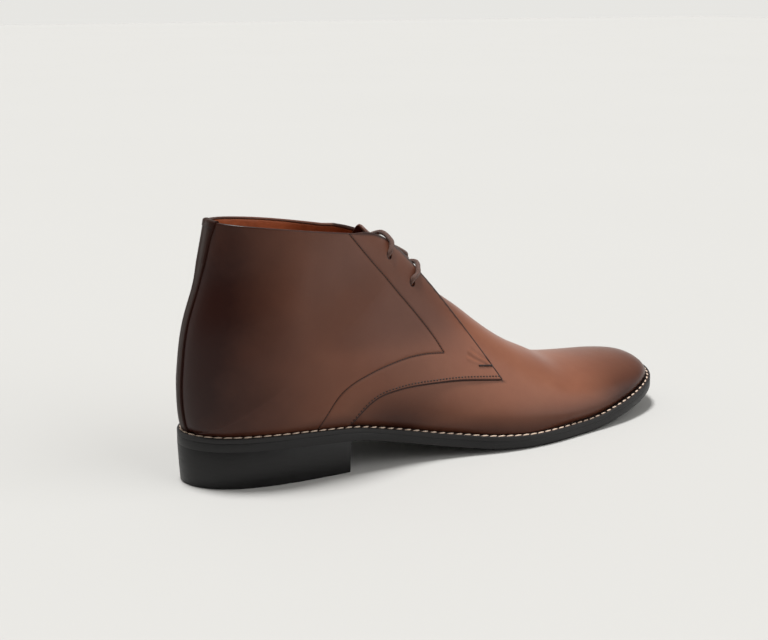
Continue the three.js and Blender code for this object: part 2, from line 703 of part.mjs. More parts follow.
// How far a lace's middle lies out from the form where it crosses the quarters.
const LACE_LIFT = QUARTER_STEP + CLEARANCE + LACE_DIAMETER / 2 + LACE_SLACK;

// A bar of lace from the outer eyelet over the ridge to the inner one.
function makeLaceBar(row) {
  const x = row.along * SOLE_LENGTH;
  const z = row.up * COLLAR_HEIGHT;
  const top = overRidge(row.crest, 0, row.over);
  const half = (side) => [onSurface(side, x, z, LACE_LIFT).point,
    onSurface(side, x + row.shoulderAhead, z + row.shoulderUp, LACE_LIFT).point];
  return laceAlong([...half("outer"), top, ...half("inner").reverse()]);
}

// Where the two laces cross between the facings.
function makeLaceCrossing() {
  const stretch = (sign) => laceAlong(LACE_CROSSING.map((row) => {
    return overRidge(row.ahead, sign * row.across, row.over);
  }));
  return stretch(1).add(stretch(-1));
}

function meshFrom(name, solid, colour, roughness) {
  const { vertProperties, triVerts } = solid.getMesh();
  const geometry = new THREE.BufferGeometry();
  geometry.setAttribute("position", new THREE.BufferAttribute(vertProperties, 3));
  geometry.setIndex(new THREE.BufferAttribute(triVerts, 1));
  geometry.translate(-HEEL_LENGTH / 2, 0, 0);
  geometry.computeVertexNormals();
  const material = new THREE.MeshStandardMaterial({ color: colour, roughness, metalness: 0 });
  const mesh = new THREE.Mesh(geometry, material);
  mesh.name = name;
  return mesh;
}

const boot = new THREE.Group();
boot.name = "chukka_boot";
boot.add(
  meshFrom("outsole", makeOutsole(), 0x1c1b1c, 0.55),
  meshFrom("heel_block", makeHeel(), 0x1a191a, 0.5),
  meshFrom("welt", makeWelt(), 0x3a2118, 0.5),
  meshFrom("insole", makeInsole(), 0xa4552c, 0.6),
  meshFrom("upper", makeUpper(), 0x6b4433, 0.38),
  meshFrom("tongue", makeTongue(), 0x6b4433, 0.4),
  meshFrom("back_strip", makeBackStrip(), 0x5a4236, 0.42),
  meshFrom("lace_bar_upper", makeLaceBar(EYELETS[0]), 0x5b4136, 0.7),
  meshFrom("lace_bar_lower", makeLaceBar(EYELETS[1]), 0x5b4136, 0.7),
  meshFrom("lace_crossing", makeLaceCrossing(), 0x5b4136, 0.7),
);

export default boot;
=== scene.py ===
# Right chukka boot in brown calf leather on a stitched welt, with a thin rubber sole and a low
# heel. Sizes are millimetres from the heel's back edge, as a boot maker measures them, and become
# metres in the part's frame, whose origin is on the floor under the middle of the heel.
import math

import bmesh
import bpy
import numpy as np
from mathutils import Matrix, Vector


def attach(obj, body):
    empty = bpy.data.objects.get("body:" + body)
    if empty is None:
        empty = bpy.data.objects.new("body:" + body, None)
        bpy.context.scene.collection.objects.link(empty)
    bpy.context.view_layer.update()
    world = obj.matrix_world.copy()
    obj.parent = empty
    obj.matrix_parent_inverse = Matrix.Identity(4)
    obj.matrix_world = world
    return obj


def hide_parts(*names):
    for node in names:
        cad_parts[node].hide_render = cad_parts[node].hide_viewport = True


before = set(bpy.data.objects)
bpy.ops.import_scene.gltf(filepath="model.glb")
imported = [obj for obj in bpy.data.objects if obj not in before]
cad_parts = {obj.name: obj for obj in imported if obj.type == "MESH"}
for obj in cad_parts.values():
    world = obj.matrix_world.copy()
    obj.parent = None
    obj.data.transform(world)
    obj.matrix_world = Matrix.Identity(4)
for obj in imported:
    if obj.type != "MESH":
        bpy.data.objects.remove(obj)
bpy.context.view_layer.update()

# The last and the sole, in millimetres.
SOLE_LENGTH = 294.0
BALL_WIDTH = 97.0
HEEL_WIDTH = 64.0
TOE_OFFSET = 4.0
HEEL_HEIGHT = 19.3
HEEL_LENGTH = 78.0
HEEL_TAPER = 1.0
BREAST_HOLLOW = 3.0
TOE_SPRING = 12.0
OUTSOLE_THICKNESS = 4.0
WELT_THICKNESS = 2.5
WELT_LEDGE = 3.8
CLEARANCE = 0.3
COLLAR_HEIGHT = 128.5
COLLAR_LENGTH = 76.0
COLLAR_DROP = 11.0
COLLAR_BOW = 0.25
BACK_LEAN = 14.3
INSTEP_HEIGHT = 61.0
TOE_HEIGHT = 30.0
ORIGIN = HEEL_LENGTH / 2

# The leathers.
QUARTER_LEATHER = 1.0
LINING_LEATHER = 1.2
EDGE_ROUND = 0.6
TONGUE_DROP = 2.8

# Underside of the sole: share along, share of the heel's height, share of the toe spring.
UNDERSIDE = [
    (0.0, 1.0, 0.0), (0.14, 0.955, 0.0), (0.26, 0.86, 0.0), (0.35, 0.61, 0.0), (0.45, 0.3, 0.0),
    (0.55, 0.075, 0.0), (0.63, 0.0, 0.0), (0.74, 0.0, 0.0), (0.86, 0.0, 0.37), (1.0, 0.0, 1.0),
]
# Plan of the sole: share along, outer half width, inner half width.
PLAN = [
    (0.0, 0.0, 0.0), (0.014, 0.38, 0.36), (0.041, 0.63, 0.6), (0.095, 0.85, 0.82),
    (0.17, 0.965, 0.92), (0.26, 1.0, 0.92), (0.36, 0.97, 0.83), (0.46, 0.97, 0.71),
    (0.55, 1.02, 0.73), (0.64, 1.045, 0.86), (0.74, 0.99, 0.89), (0.83, 0.91, 0.8),
    (0.91, 0.75, 0.63), (0.96, 0.56, 0.44), (0.988, 0.325, 0.25), (1.0, 0.0, 0.0),
]
# Back of the heel: share of the rise to the collar, lean as a share of the collar's.
BACK = [
    (0.0, 0.0), (0.065, -0.077), (0.13, -0.133), (0.21, -0.14), (0.33, -0.084), (0.4, -0.035),
    (0.5, 0.09), (0.6, 0.3), (0.7, 0.535), (0.85, 0.775), (1.0, 1.0), (1.08, 1.09),
]
# Ridge from the collar's front to the toe: share ahead, height.
RIDGE = [
    (0.0, 1.033 * COLLAR_HEIGHT), (0.0584, 0.943 * COLLAR_HEIGHT),
    (0.1397, 0.831 * COLLAR_HEIGHT), (0.2388, 0.685 * COLLAR_HEIGHT),
    (0.3404, 1.146 * INSTEP_HEIGHT), (0.3963, INSTEP_HEIGHT), (0.4553, 0.862 * INSTEP_HEIGHT),
    (0.5132, 0.751 * INSTEP_HEIGHT), (0.5742, 0.659 * INSTEP_HEIGHT), (0.6402, 1.15 * TOE_HEIGHT),
    (0.7215, 1.058 * TOE_HEIGHT), (0.8069, 1.005 * TOE_HEIGHT), (0.8841, 0.97 * TOE_HEIGHT),
    (0.94, 0.925 * TOE_HEIGHT), (0.9756, 0.85 * TOE_HEIGHT),
]
# Sections of the upper: foot, rise, ahead, outer, inner, widest, top.
SECTIONS = [
    (1.0, 0.0, 1.0, 1.2, 1.1, 0.1, 1.9),
    (0.992, 0.0, 0.9964, 1.2, 1.1, 0.1, 1.9),
    (0.973, 0.0, 0.9873, 1.2, 1.1, 0.1, 1.95),
    (0.935, 0.0, 0.955, 1.2, 1.1, 0.11, 1.95),
    (0.872, 0.0, 0.874, 1.26, 1.1, 0.13, 1.9),
    (0.789, 0.0, 0.757, 1.39, 1.23, 0.15, 1.8),
    (0.691, 0.0, 0.63, 1.48, 1.27, 0.17, 1.75),
    (0.587, 0.0, 0.513, 1.45, 1.2, 0.18, 1.7),
    (0.476, 0.0, 0.417, 1.26, 1.09, 0.18, 1.65),
    (0.364, 0.0, 0.34, 1.07, 1.01, 0.19, 1.7),
    (0.253, 0.0, 0.28, 0.995, 0.97, 0.2, 1.75),
    (0.149, 0.0, 0.229, 0.97, 0.955, 0.21, 1.8),
    (0.065, 0.0, 0.19, 0.96, 0.95, 0.24, 1.85),
    (0.02, 0.0, 0.168, 0.955, 0.945, 0.27, 1.9),
    (0.0, 0.0, 0.15, 0.95, 0.94, 0.3, 1.95),
    (0.0, 0.2, 0.122, 0.92, 0.91, 0.36, 2.0),
    (0.0, 0.4, 0.094, 0.86, 0.86, 0.42, 2.0),
    (0.0, 0.6, 0.068, 0.78, 0.78, 0.46, 2.0),
    (0.0, 0.8, 0.043, 0.72, 0.72, 0.48, 2.0),
    (0.0, 1.0, 0.018, 0.69, 0.69, 0.5, 2.0),
    (0.0, 1.08, 0.0, 0.68, 0.68, 0.5, 2.0),
]
FIRST_BACK_SECTION = 14

# Side view of the quarters, in millimetres: the facing's edge, then the lower edge to the sole.
FACING = [
    (94.7, 118.2), (101.7, 116.5), (109.7, 113.3), (117.0, 108.7), (124.7, 102.4), (131.7, 94.8),
    (140.8, 83.5), (148.5, 72.2), (155.5, 60.9), (161.7, 49.3), (168.6, 34.8),
]
QUARTER_EDGE = [
    (168.6, 34.8), (145.5, 37.6), (130.5, 38.5), (116.7, 38.9), (105.8, 38.4), (96.7, 37.0),
    (90.8, 34.6), (85.6, 30.8), (80.0, 24.3), (77.0, 19.3),
]
EYELETS = [(110.6, 104.5), (124.4, 88.7)]
EYELET_RADIUS = 1.7

# Stitch rows in side view: the eyelet reinforcement, and the row along the quarter's lower edge.
FACING_SEAM = [
    (84.0, 119.0), (96.3, 104.2), (105.7, 94.2), (113.6, 84.8), (122.5, 73.8), (130.9, 61.8),
    (135.9, 52.6),
]
HEEL_SEAM = [
    (135.9, 52.6), (124.2, 53.8), (112.8, 53.6), (100.3, 51.7), (90.0, 49.2), (80.5, 46.0),
    (73.5, 42.2), (69.6, 38.6), (66.9, 35.0), (62.8, 28.4), (60.2, 23.0),
]
TACK = [(155.6, 43.2), (164.2, 41.9)]


def mix(a, b, t):
    return a + (b - a) * t


def grow(value, start, run):
    """A smooth step from nought to one, as a value goes from a start on through a run."""
    c = np.clip((value - start) / run, 0.0, 1.0)
    return c * c * (3 - 2 * c)


def fade(value, start, run):
    return 1 - grow(value, start, run)


def unit(rows):
    """Each row of numbers scaled to length one."""
    return rows / np.linalg.norm(rows, axis=1)[:, None]


def follow(table, column, at):
    """A smooth curve through one column of a table that never swings past its rows."""
    x = np.array([row[0] for row in table], float)
    y = np.array([row[column] for row in table], float)
    at = np.asarray(at, float)
    slope = np.diff(y) / np.diff(x)
    tangent = np.concatenate([slope[:1], np.zeros(len(x) - 2), slope[-1:]])
    both = slope[:-1] * slope[1:]
    total = slope[:-1] + slope[1:]
    rising = both > 0
    tangent[1:-1][rising] = 2 * both[rising] / total[rising]
    i = np.clip(np.searchsorted(x, at, side="right") - 1, 0, len(x) - 2)
    h = x[i + 1] - x[i]
    t = np.clip((at - x[i]) / h, 0, 1)
    u = 1 - t
    start = y[i] * (1 + 2 * t) * u * u + h * tangent[i] * t * u * u
    end = y[i + 1] * (3 - 2 * t) * t * t - h * tangent[i + 1] * u * t * t
    return start + end


def underside(x):
    along = np.asarray(x) / SOLE_LENGTH
    return follow(UNDERSIDE, 1, along) * HEEL_HEIGHT + follow(UNDERSIDE, 2, along) * TOE_SPRING


def welt_floor(x):
    return underside(x) + OUTSOLE_THICKNESS + CLEARANCE


def welt_top(x):
    return welt_floor(x) + WELT_THICKNESS


def foot_line(x):
    return welt_top(x) + CLEARANCE


def middle(x):
    return TOE_OFFSET * grow(np.asarray(x) / SOLE_LENGTH, 0.3, 0.7)


def local_half(x):
    return mix(HEEL_WIDTH, BALL_WIDTH, grow(np.asarray(x) / SOLE_LENGTH, 0.27, 0.35)) / 2


PLAN_TURNS = [(math.acos(1 - 2 * row[0]), row[1], row[2]) for row in PLAN]
TINY_TURN = 1e-3


def plan_point(side, turn):
    x = SOLE_LENGTH * (1 - np.cos(turn)) / 2
    width = follow(PLAN_TURNS, 1 if side < 0 else 2, turn) * local_half(x)
    return np.stack([x, middle(x) + side * width], -1)


def outline(inset, steps, last_turn=math.pi):
    """Points of the sole's edge moved inwards, on the outer and the inner side, from the heel on. The
    inset is a number, or a function of the place along the sole."""
    sides = []
    for side in (-1, 1):
        turn = np.linspace(0, last_turn, steps + 1)
        here = plan_point(side, turn)
        before = plan_point(side, np.clip(turn - TINY_TURN, 0, math.pi))
        after = plan_point(side, np.clip(turn + TINY_TURN, 0, math.pi))
        before[0] = plan_point(-side, np.array([TINY_TURN]))[0]
        if last_turn == math.pi:
            after[-1] = plan_point(-side, np.array([math.pi - TINY_TURN]))[0]
        run = unit(after - before)
        inward = np.stack([-run[:, 1], run[:, 0]], -1) * -side
        sides.append(here + inward * (inset(here[:, :1]) if callable(inset) else inset))
    return sides


RING_STEPS = 220
FOOT_STEPS = 400


def ring(inset):
    """The sole's edge as one closed line, counted from the heel along the outer side."""
    outer, inner = outline(inset, RING_STEPS)
    return np.concatenate([outer, inner[1:-1][::-1]])


FOOT = outline(WELT_LEDGE, FOOT_STEPS)
FOOT_BACK = FOOT[0][0][0]
FOOT_TIP = FOOT[0][-1][0]
COLLAR_BACK = WELT_LEDGE + BACK_LEAN
COLLAR_FRONT = COLLAR_BACK + COLLAR_LENGTH
RIDGE_LINE = RIDGE + [(1.0, float(foot_line(FOOT_TIP)))]


def foot_edge(side, x):
    points = FOOT[0 if side < 0 else 1]
    return float(np.interp(x, points[:, 0], points[:, 1]))


def collar_line(x):
    share = (np.asarray(x) - COLLAR_BACK) / COLLAR_LENGTH
    return COLLAR_HEIGHT - COLLAR_DROP * share * mix(1, share, COLLAR_BOW)


ROW_STEPS = 9
LOW_STEPS = 10
HIGH_STEPS = 38
SMOOTHING = 40
HEEL_SMOOTHING = 160


def form_section(foot, rise, ahead, outer, inner, widest, top):
    """One section of the last, from the outer foot over the ridge to the inner foot."""
    foot_x = mix(FOOT_BACK, FOOT_TIP, foot)
    if rise > 0:
        start = (FOOT_BACK + BACK_LEAN * float(follow(BACK, 1, rise)),
                 mix(float(foot_line(FOOT_BACK)), COLLAR_HEIGHT, rise))
    else:
        start = (foot_x, float(foot_line(foot_x)))
    end = (mix(COLLAR_FRONT, FOOT_TIP, ahead), float(follow(RIDGE_LINE, 1, ahead)))
    low = widest * (1 - np.cos(math.pi / 2 * np.arange(LOW_STEPS) / LOW_STEPS))
    turn = np.sin(math.pi / 2 * np.arange(HIGH_STEPS + 1) / HIGH_STEPS)
    share = np.concatenate([low, mix(widest, 1, turn ** (2 / top))])
    x = mix(start[0], end[0], share)
    z = mix(start[1], end[1], share)
    down = np.clip(1 - share / widest, 0, 1)
    up = np.clip((share - widest) / (1 - widest), 0, 1)
    sides = []
    for sign, swell in ((-1, outer), (1, inner)):
        open_foot = rise <= 0 and 0 < foot < 1
        base = abs(foot_edge(sign, foot_x) - float(middle(foot_x))) if open_foot else 0.0
        full = mix(base, swell * HEEL_WIDTH / 2, float(grow(0.95 - foot, 0, 0.25)))
        width = np.where(share < widest, np.sqrt(full**2 - down**2 * (full**2 - base**2)),
                         full * np.sqrt(1 - up**top))
        sides.append(np.stack([x, middle(x) + sign * width, z], -1))
    return np.concatenate([sides[0], sides[1][::-1][1:]])


def form_grid():
    """The last's form: a row per section from the toe to the collar."""
    table = [(index,) + row for index, row in enumerate(SECTIONS)]
    last = len(SECTIONS) - 1
    steps = np.arange(ROW_STEPS) / ROW_STEPS
    places = np.concatenate([steps**2] + [index + steps for index in range(1, last)] + [[last]])
    rows = []
    for place in places:
        values = [float(follow(table, n, place)) for n in range(1, 8)]
        if place <= FIRST_BACK_SECTION:
            values[1] = 0.0
        rows.append(form_section(*values))
    return np.array(rows), places


def smoothed(grid, places):
    """Takes small ripples out of the form without shrinking it; foot and ends stay."""
    grid = grid.copy()
    back = places > FIRST_BACK_SECTION
    fan = np.exp(-(((places - FIRST_BACK_SECTION) / 1.8) ** 2))[:, None, None]
    for turn in range(SMOOTHING + HEEL_SMOOTHING):
        factor = 0.5 if turn % 2 == 0 else -0.51
        share = 1.0 if turn < SMOOTHING else fan[1:-1]
        middle_of = grid.copy()
        middle_of[1:-1] = (grid[2:] + grid[:-2]) / 2
        grid[1:-1, 1:-1] += share * factor * (middle_of[1:-1, 1:-1] - grid[1:-1, 1:-1])
        across = grid.copy()
        across[:, 1:-1] = (grid[:, 2:] + grid[:, :-2]) / 2
        seam = (grid[:, 1] + grid[:, -2]) / 2
        grid[1:-1, 1:-1] += share * factor * (across[1:-1, 1:-1] - grid[1:-1, 1:-1])
        lift = factor * 0.5 * (seam - grid[:, 0])
        grid[back, 0] += lift[back]
        grid[back, -1] = grid[back, 0]
    return grid


GRID, PLACES = form_grid()
GRID = smoothed(GRID, PLACES)
ROWS, COLUMNS = GRID.shape[:2]


def grid_normals(grid):
    """Directions straight out of the form at each point of its grid."""
    along = np.gradient(grid, axis=0)
    across = np.gradient(grid, axis=1)
    back = PLACES >= FIRST_BACK_SECTION
    across[back, 0] = across[back, -1] = (grid[back, 1] - grid[back, -2]) / 2
    out = np.cross(across, along)
    size = np.linalg.norm(out, axis=2)
    out[size > 1e-9] /= size[size > 1e-9][:, None]
    out[0] = out[1].mean(axis=0)
    out[0] /= np.linalg.norm(out[0])
    if out[ROWS // 2, COLUMNS // 2, 2] < 0:
        out = -out
    return out


NORMALS = grid_normals(GRID)


def read_grid(field, places):
    """Values of the form between its grid's points, for places given as row and column."""
    r = np.clip(places[:, 0], 0, ROWS - 1)
    c = np.clip(places[:, 1], 0, COLUMNS - 1)
    i = np.minimum(r.astype(int), ROWS - 2)
    j = np.minimum(c.astype(int), COLUMNS - 2)
    s = (r - i)[:, None]
    t = (c - j)[:, None]
    return (field[i, j] * (1 - s) * (1 - t) + field[i + 1, j] * s * (1 - t)
            + field[i, j + 1] * (1 - s) * t + field[i + 1, j + 1] * s * t)


def edge_key(p, q):
    return (min(p, q), max(p, q))


# A point of a mesh this near to a cutting line, in millimetres, counts as on it.
ON_LINE = 1e-4


class Patch:
    """A triangle mesh drawn on the form: its points are places on the form's grid."""

    def __init__(self, places, triangles):
        self.places = places
        self.triangles = triangles

    def points(self):
        return read_grid(GRID, self.places)

    def refined(self, near, rounds):
        """Halves the edges of triangles that a test picks, a few times."""
        patch = self
        for _ in range(rounds):
            patch = patch.split(near(patch.points()[patch.triangles].mean(axis=1)))
        return patch

    def split(self, chosen):
        """Splits the chosen triangles in four, and their neighbours to fit."""
        cut = set()
        for a, b, c in self.triangles[chosen]:
            cut.update((edge_key(a, b), edge_key(b, c), edge_key(c, a)))
        places = list(self.places)
        mid = {}
        for a, b in sorted(cut):
            mid[(a, b)] = len(places)
            places.append((self.places[a] + self.places[b]) / 2)
        made = []
        for a, b, c in self.triangles:
            middles = [mid.get(edge_key(p, q)) for p, q in ((a, b), (b, c), (c, a))]
            made.extend(split_triangle(a, b, c, *middles))
        return Patch(np.array(places), np.array(made))

    def cut(self, value):
        """Adds edges along the line where a value on the surface is zero, and returns the values."""
        v = value(self.points())
        v[np.abs(v) < ON_LINE] = 0.0
        places = list(self.places)
        values = list(v)
        mid = {}

        def crossing(p, q):
            if v[p] * v[q] >= 0:
                return None
            key = edge_key(p, q)
            if key not in mid:
                t = v[p] / (v[p] - v[q])
                mid[key] = len(places)
                places.append(self.places[p] * (1 - t) + self.places[q] * t)
                values.append(0.0)
            return mid[key]

        sign = np.sign(v[self.triangles])
        mixed = (sign.max(axis=1) > 0) & (sign.min(axis=1) < 0)
        made = self.triangles[~mixed].tolist()
        for a, b, c in self.triangles[mixed].tolist():
            made.extend(split_triangle(a, b, c, crossing(a, b), crossing(b, c), crossing(c, a)))
        return Patch(np.array(places), np.array(made)), np.array(values)

    def kept(self, value):
        """The part of the patch where a value is above nought."""
        patch, values = self.cut(value)
        keep = values[patch.triangles].sum(axis=1) > 0
        used, back = np.unique(patch.triangles[keep], return_inverse=True)
        return Patch(patch.places[used], back.reshape(-1, 3))


def split_triangle(a, b, c, ab, bc, ca):
    """Triangles that fill one with a new point on some of its edges."""
    count = 3 - (ab, bc, ca).count(None)
    if count == 0:
        return [(a, b, c)]
    if count == 3:
        return [(a, ab, ca), (ab, b, bc), (ca, bc, c), (ab, bc, ca)]
    if count == 2 and ab is not None and bc is not None:
        return [(ab, b, bc), (a, ab, bc), (a, bc, c)]
    if count == 1 and ab is not None:
        return [(a, ab, c), (ab, b, c)]
    return split_triangle(b, c, a, bc, ca, ab)


def whole_form():
    i, j = np.meshgrid(np.arange(ROWS - 1), np.arange(COLUMNS - 1), indexing="ij")
    a = (i * COLUMNS + j).ravel()
    b, c, d = a + 1, a + COLUMNS + 1, a + COLUMNS
    triangles = np.concatenate([np.stack([a, b, c], 1), np.stack([a, c, d], 1)])
    places = np.stack(np.divmod(np.arange(ROWS * COLUMNS), COLUMNS), 1).astype(float)
    return Patch(places, triangles)


def side_of(line, p):
    """Distance in side view from points to a line, below nought to the right of it as it runs."""
    x, z = p[:, 0], p[:, 2]
    best = np.full(x.shape, 1e9)
    sign = np.ones(x.shape)
    for (ax, az), (bx, bz) in zip(line[:-1], line[1:]):
        run = (bx - ax, bz - az)
        length = run[0] ** 2 + run[1] ** 2
        t = np.clip(((x - ax) * run[0] + (z - az) * run[1]) / length, 0, 1)
        gap = np.hypot(x - ax - t * run[0], z - az - t * run[1])
        turn = run[0] * (z - az) - run[1] * (x - ax)
        sign = np.where(gap < best, np.where(turn < 0, -1.0, 1.0), sign)
        best = np.minimum(best, gap)
    return best * sign


def distance_to(line, p):
    return np.abs(side_of(line, p))


def inside(outline_points, p):
    """Whether points lie inside a closed line in side view."""
    x, z = p[:, 0], p[:, 2]
    result = np.zeros(x.shape, bool)
    for (ax, az), (bx, bz) in zip(outline_points, outline_points[1:] + outline_points[:1]):
        if az != bz:
            crosses = (az > z) != (bz > z)
            result ^= crosses & (x < (bx - ax) * (z - az) / (bz - az) + ax)
    return result


def smooth_line(points, step=1.5):
    """A smooth curve through points of a plane or of space, with points a step apart."""
    p = np.array(points, float)
    extended = np.vstack([2 * p[0] - p[1], p, 2 * p[-1] - p[-2]])
    made = []
    for k in range(1, len(extended) - 2):
        a, b, c, d = extended[k - 1:k + 3]
        count = max(2, int(np.linalg.norm(c - b) / step))
        for t in np.arange(count) / count:
            made.append(0.5 * (2 * b + (c - a) * t + (2 * a - 5 * b + 4 * c - d) * t**2
                               + (3 * b - a - 3 * c + d) * t**3))
    made.append(extended[-2])
    return np.array(made)


def drawn(points):
    return [tuple(p) for p in smooth_line(points)]


def beside(line, distance):
    """A line in side view moved sideways, to its left as it runs."""
    p = np.array(line, float)
    run = unit(np.gradient(p, axis=0))
    return p + np.stack([-run[:, 1], run[:, 0]], 1) * distance


COLLAR = [(x, float(collar_line(x))) for x in np.linspace(-10, FACING[0][0] - 6, 30)]
FACING_LINE = drawn(FACING)
EDGE_LINE = drawn(QUARTER_EDGE)
FREE_EDGE = COLLAR + FACING_LINE + EDGE_LINE[1:]
# The quarter's outline closes well below the sole and well behind the heel.
BELOW, BEHIND = -20.0, -60.0
QUARTER_OUTLINE = FREE_EDGE + [(EDGE_LINE[-1][0] - 4, BELOW), (BEHIND, BELOW), (BEHIND, COLLAR[0][1])]


def quarter_depth(p):
    """How far a point of the surface lies inside the quarter's edge, below nought outside it."""
    distance = distance_to(FREE_EDGE, p)
    return np.where(inside(QUARTER_OUTLINE, p), distance, -distance)


def hole_depth(p):
    """How far a point lies outside the nearest eyelet hole."""
    x, z = p[:, 0], p[:, 2]
    return np.minimum.reduce([np.hypot(x - a, z - b) for a, b in EYELETS]) - EYELET_RADIUS


def edge_depth(p):
    return np.minimum(quarter_depth(p), hole_depth(p))


def rounded(depth, height, radius=EDGE_ROUND):
    """Height of a sheet that starts round at its edge."""
    t = np.clip(1 - depth / radius, 0, 1)
    return height * np.sqrt(1 - t * t)


def metres(points):
    p = np.array(points, float)
    p[..., 0] -= ORIGIN
    return p / 1000


def add_object(name, data):
    made = bpy.data.objects.new(name, data)
    bpy.context.scene.collection.objects.link(made)
    return made


def mesh_object(name, points, faces):
    """An object from points in millimetres, with doubles merged and faces turned outwards."""
    mesh = bpy.data.meshes.new(name)
    mesh.from_pydata([tuple(p) for p in metres(points)], [], [tuple(int(i) for i in f) for f in faces])
    work = bmesh.new()
    work.from_mesh(mesh)
    bmesh.ops.remove_doubles(work, verts=work.verts, dist=2e-6)
    bmesh.ops.recalc_face_normals(work, faces=work.faces)
    work.to_mesh(mesh)
    work.free()
    mesh.shade_smooth()
    return add_object(name, mesh)


# Points this close above the foot line, in millimetres, stand on it.
FOOT_REACH = 0.05


def sheet_between(name, patch, high, low):
    """A closed sheet of leather between two heights over the form."""
    base = patch.points()
    out = unit(read_grid(NORMALS, patch.places))
    top = base + out * high(base)[:, None]
    bottom = base + out * low(base)[:, None]
    floor = foot_line(base[:, 0])
    at_foot = base[:, 2] < floor + FOOT_REACH
    top[at_foot, 2] = floor[at_foot]
    bottom[at_foot, 2] = floor[at_foot]
    count = len(base)
    triangles = patch.triangles.tolist()
    edges = {edge: True for a, b, c in triangles for edge in ((a, b), (b, c), (c, a))}
    faces = triangles + [(a + count, c + count, b + count) for a, b, c in triangles]
    faces += [(q, p, p + count, q + count) for p, q in edges if (q, p) not in edges]
    return mesh_object(name, np.vstack([top, bottom]), faces)


SEARCH_ROUNDS = 6


def on_form(x, z, side, lift):
    """Points of the form's outer (-1) or inner (1) side at places of the side view, lifted off it."""
    x = np.atleast_1d(np.asarray(x, float))
    z = np.atleast_1d(np.asarray(z, float))
    half = COLUMNS // 2
    low, high = (1, half) if side < 0 else (half, COLUMNS - 2)
    grid = GRID[:, low:high + 1]
    rows = np.gradient(GRID, axis=0)
    columns = np.gradient(GRID, axis=1)
    places = []
    for a, b in zip(x, z):
        gap = (grid[..., 0] - a) ** 2 + (grid[..., 2] - b) ** 2
        places.append(np.unravel_index(np.argmin(gap), gap.shape))
    places = np.array(places, float) + [0, low]
    for _ in range(SEARCH_ROUNDS):
        here = read_grid(GRID, places)
        dr, dc = read_grid(rows, places), read_grid(columns, places)
        miss = np.stack([x - here[:, 0], z - here[:, 2]], 1)
        det = dr[:, 0] * dc[:, 2] - dc[:, 0] * dr[:, 2]
        det = np.where(np.abs(det) < 1e-6, 1e-6, det)
        step = np.stack([(miss[:, 0] * dc[:, 2] - dc[:, 0] * miss[:, 1]) / det,
                         (dr[:, 0] * miss[:, 1] - miss[:, 0] * dr[:, 2]) / det], 1)
        places += np.clip(step, -1.5, 1.5)
        places[:, 0] = np.clip(places[:, 0], 1, ROWS - 2)
        places[:, 1] = np.clip(places[:, 1], low, high)
    out = unit(read_grid(NORMALS, places))
    return read_grid(GRID, places) + out * lift, out


# Colour and shader nodes.


def linear(hex_colour):
    """An sRGB hex colour as linear red, green, blue and alpha."""
    parts = [int(hex_colour[i:i + 2], 16) / 255 for i in (1, 3, 5)]
    return [c / 12.92 if c <= 0.04045 else ((c + 0.055) / 1.055) ** 2.4 for c in parts] + [1.0]


def node(tree, kind, settings=None, inputs=None):
    """Adds a node with its settings, and its inputs from values or from other nodes' outputs."""
    made = tree.nodes.new(kind)
    for key, value in (settings or {}).items():
        setattr(made, key, value)
    for key, value in (inputs or {}).items():
        if isinstance(value, bpy.types.NodeSocket):
            tree.links.new(value, made.inputs[key])
        else:
            made.inputs[key].default_value = value
    return made


def ramp(tree, factor, stops):
    made = node(tree, "ShaderNodeValToRGB", inputs={"Fac": factor})
    elements = made.color_ramp.elements
    elements[0].position, elements[0].color = stops[0][0], stops[0][1]
    elements[1].position, elements[1].color = stops[-1][0], stops[-1][1]
    for place, colour in stops[1:-1]:
        elements.new(place).color = colour
    return made.outputs["Color"]


def grey(value):
    return [value, value, value, 1.0]


def new_material(name):
    material = bpy.data.materials.new(name)
    material.use_nodes = True
    tree = material.node_tree
    tree.nodes.clear()
    place = node(tree, "ShaderNodeTexCoord").outputs["Object"]
    return material, tree, place


def finish_material(tree, settings, colour, roughness, bump):
    shader = node(tree, "ShaderNodeBsdfPrincipled", inputs=settings)
    for key, value in (("Base Color", colour), ("Roughness", roughness), ("Normal", bump)):
        if value is not None:
            tree.links.new(value, shader.inputs[key])
    out = node(tree, "ShaderNodeOutputMaterial")
    tree.links.new(shader.outputs["BSDF"], out.inputs["Surface"])


def noise(tree, place, scale, detail=3.0, roughness=0.5):
    inputs = {"Vector": place, "Scale": scale, "Detail": detail, "Roughness": roughness}
    return node(tree, "ShaderNodeTexNoise", inputs=inputs).outputs["Fac"]


def diagonal_lines(tree, place, scale, distortion=0.0):
    return node(tree, "ShaderNodeTexWave", {"bands_direction": "DIAGONAL"},
                {"Vector": place, "Scale": scale, "Distortion": distortion}).outputs["Fac"]


def stretched(tree, place, scale):
    return node(tree, "ShaderNodeMapping", inputs={"Vector": place, "Scale": scale}).outputs["Vector"]


def carried(tree, value, low, high, start, end, kind="LINEAR"):
    """Carries a value from one range over to another."""
    inputs = {"Value": value, "From Min": low, "From Max": high, "To Min": start, "To Max": end}
    return node(tree, "ShaderNodeMapRange", {"interpolation_type": kind}, inputs).outputs[0]


def painted_on(tree, name):
    """A value that was painted on the mesh's points."""
    return node(tree, "ShaderNodeAttribute", {"attribute_name": name}).outputs["Fac"]


def blend(tree, factor, first, second):
    made = node(tree, "ShaderNodeMix", {"data_type": "RGBA"})
    for socket, value in (("Factor_Float", factor), ("A_Color", first), ("B_Color", second)):
        target = next(i for i in made.inputs if i.identifier == socket)
        if isinstance(value, bpy.types.NodeSocket):
            tree.links.new(value, target)
        else:
            target.default_value = value
    return next(o for o in made.outputs if o.identifier == "Result_Color")


def maths(tree, operation, a, b):
    return node(tree, "ShaderNodeMath", {"operation": operation}, {0: a, 1: b}).outputs[0]


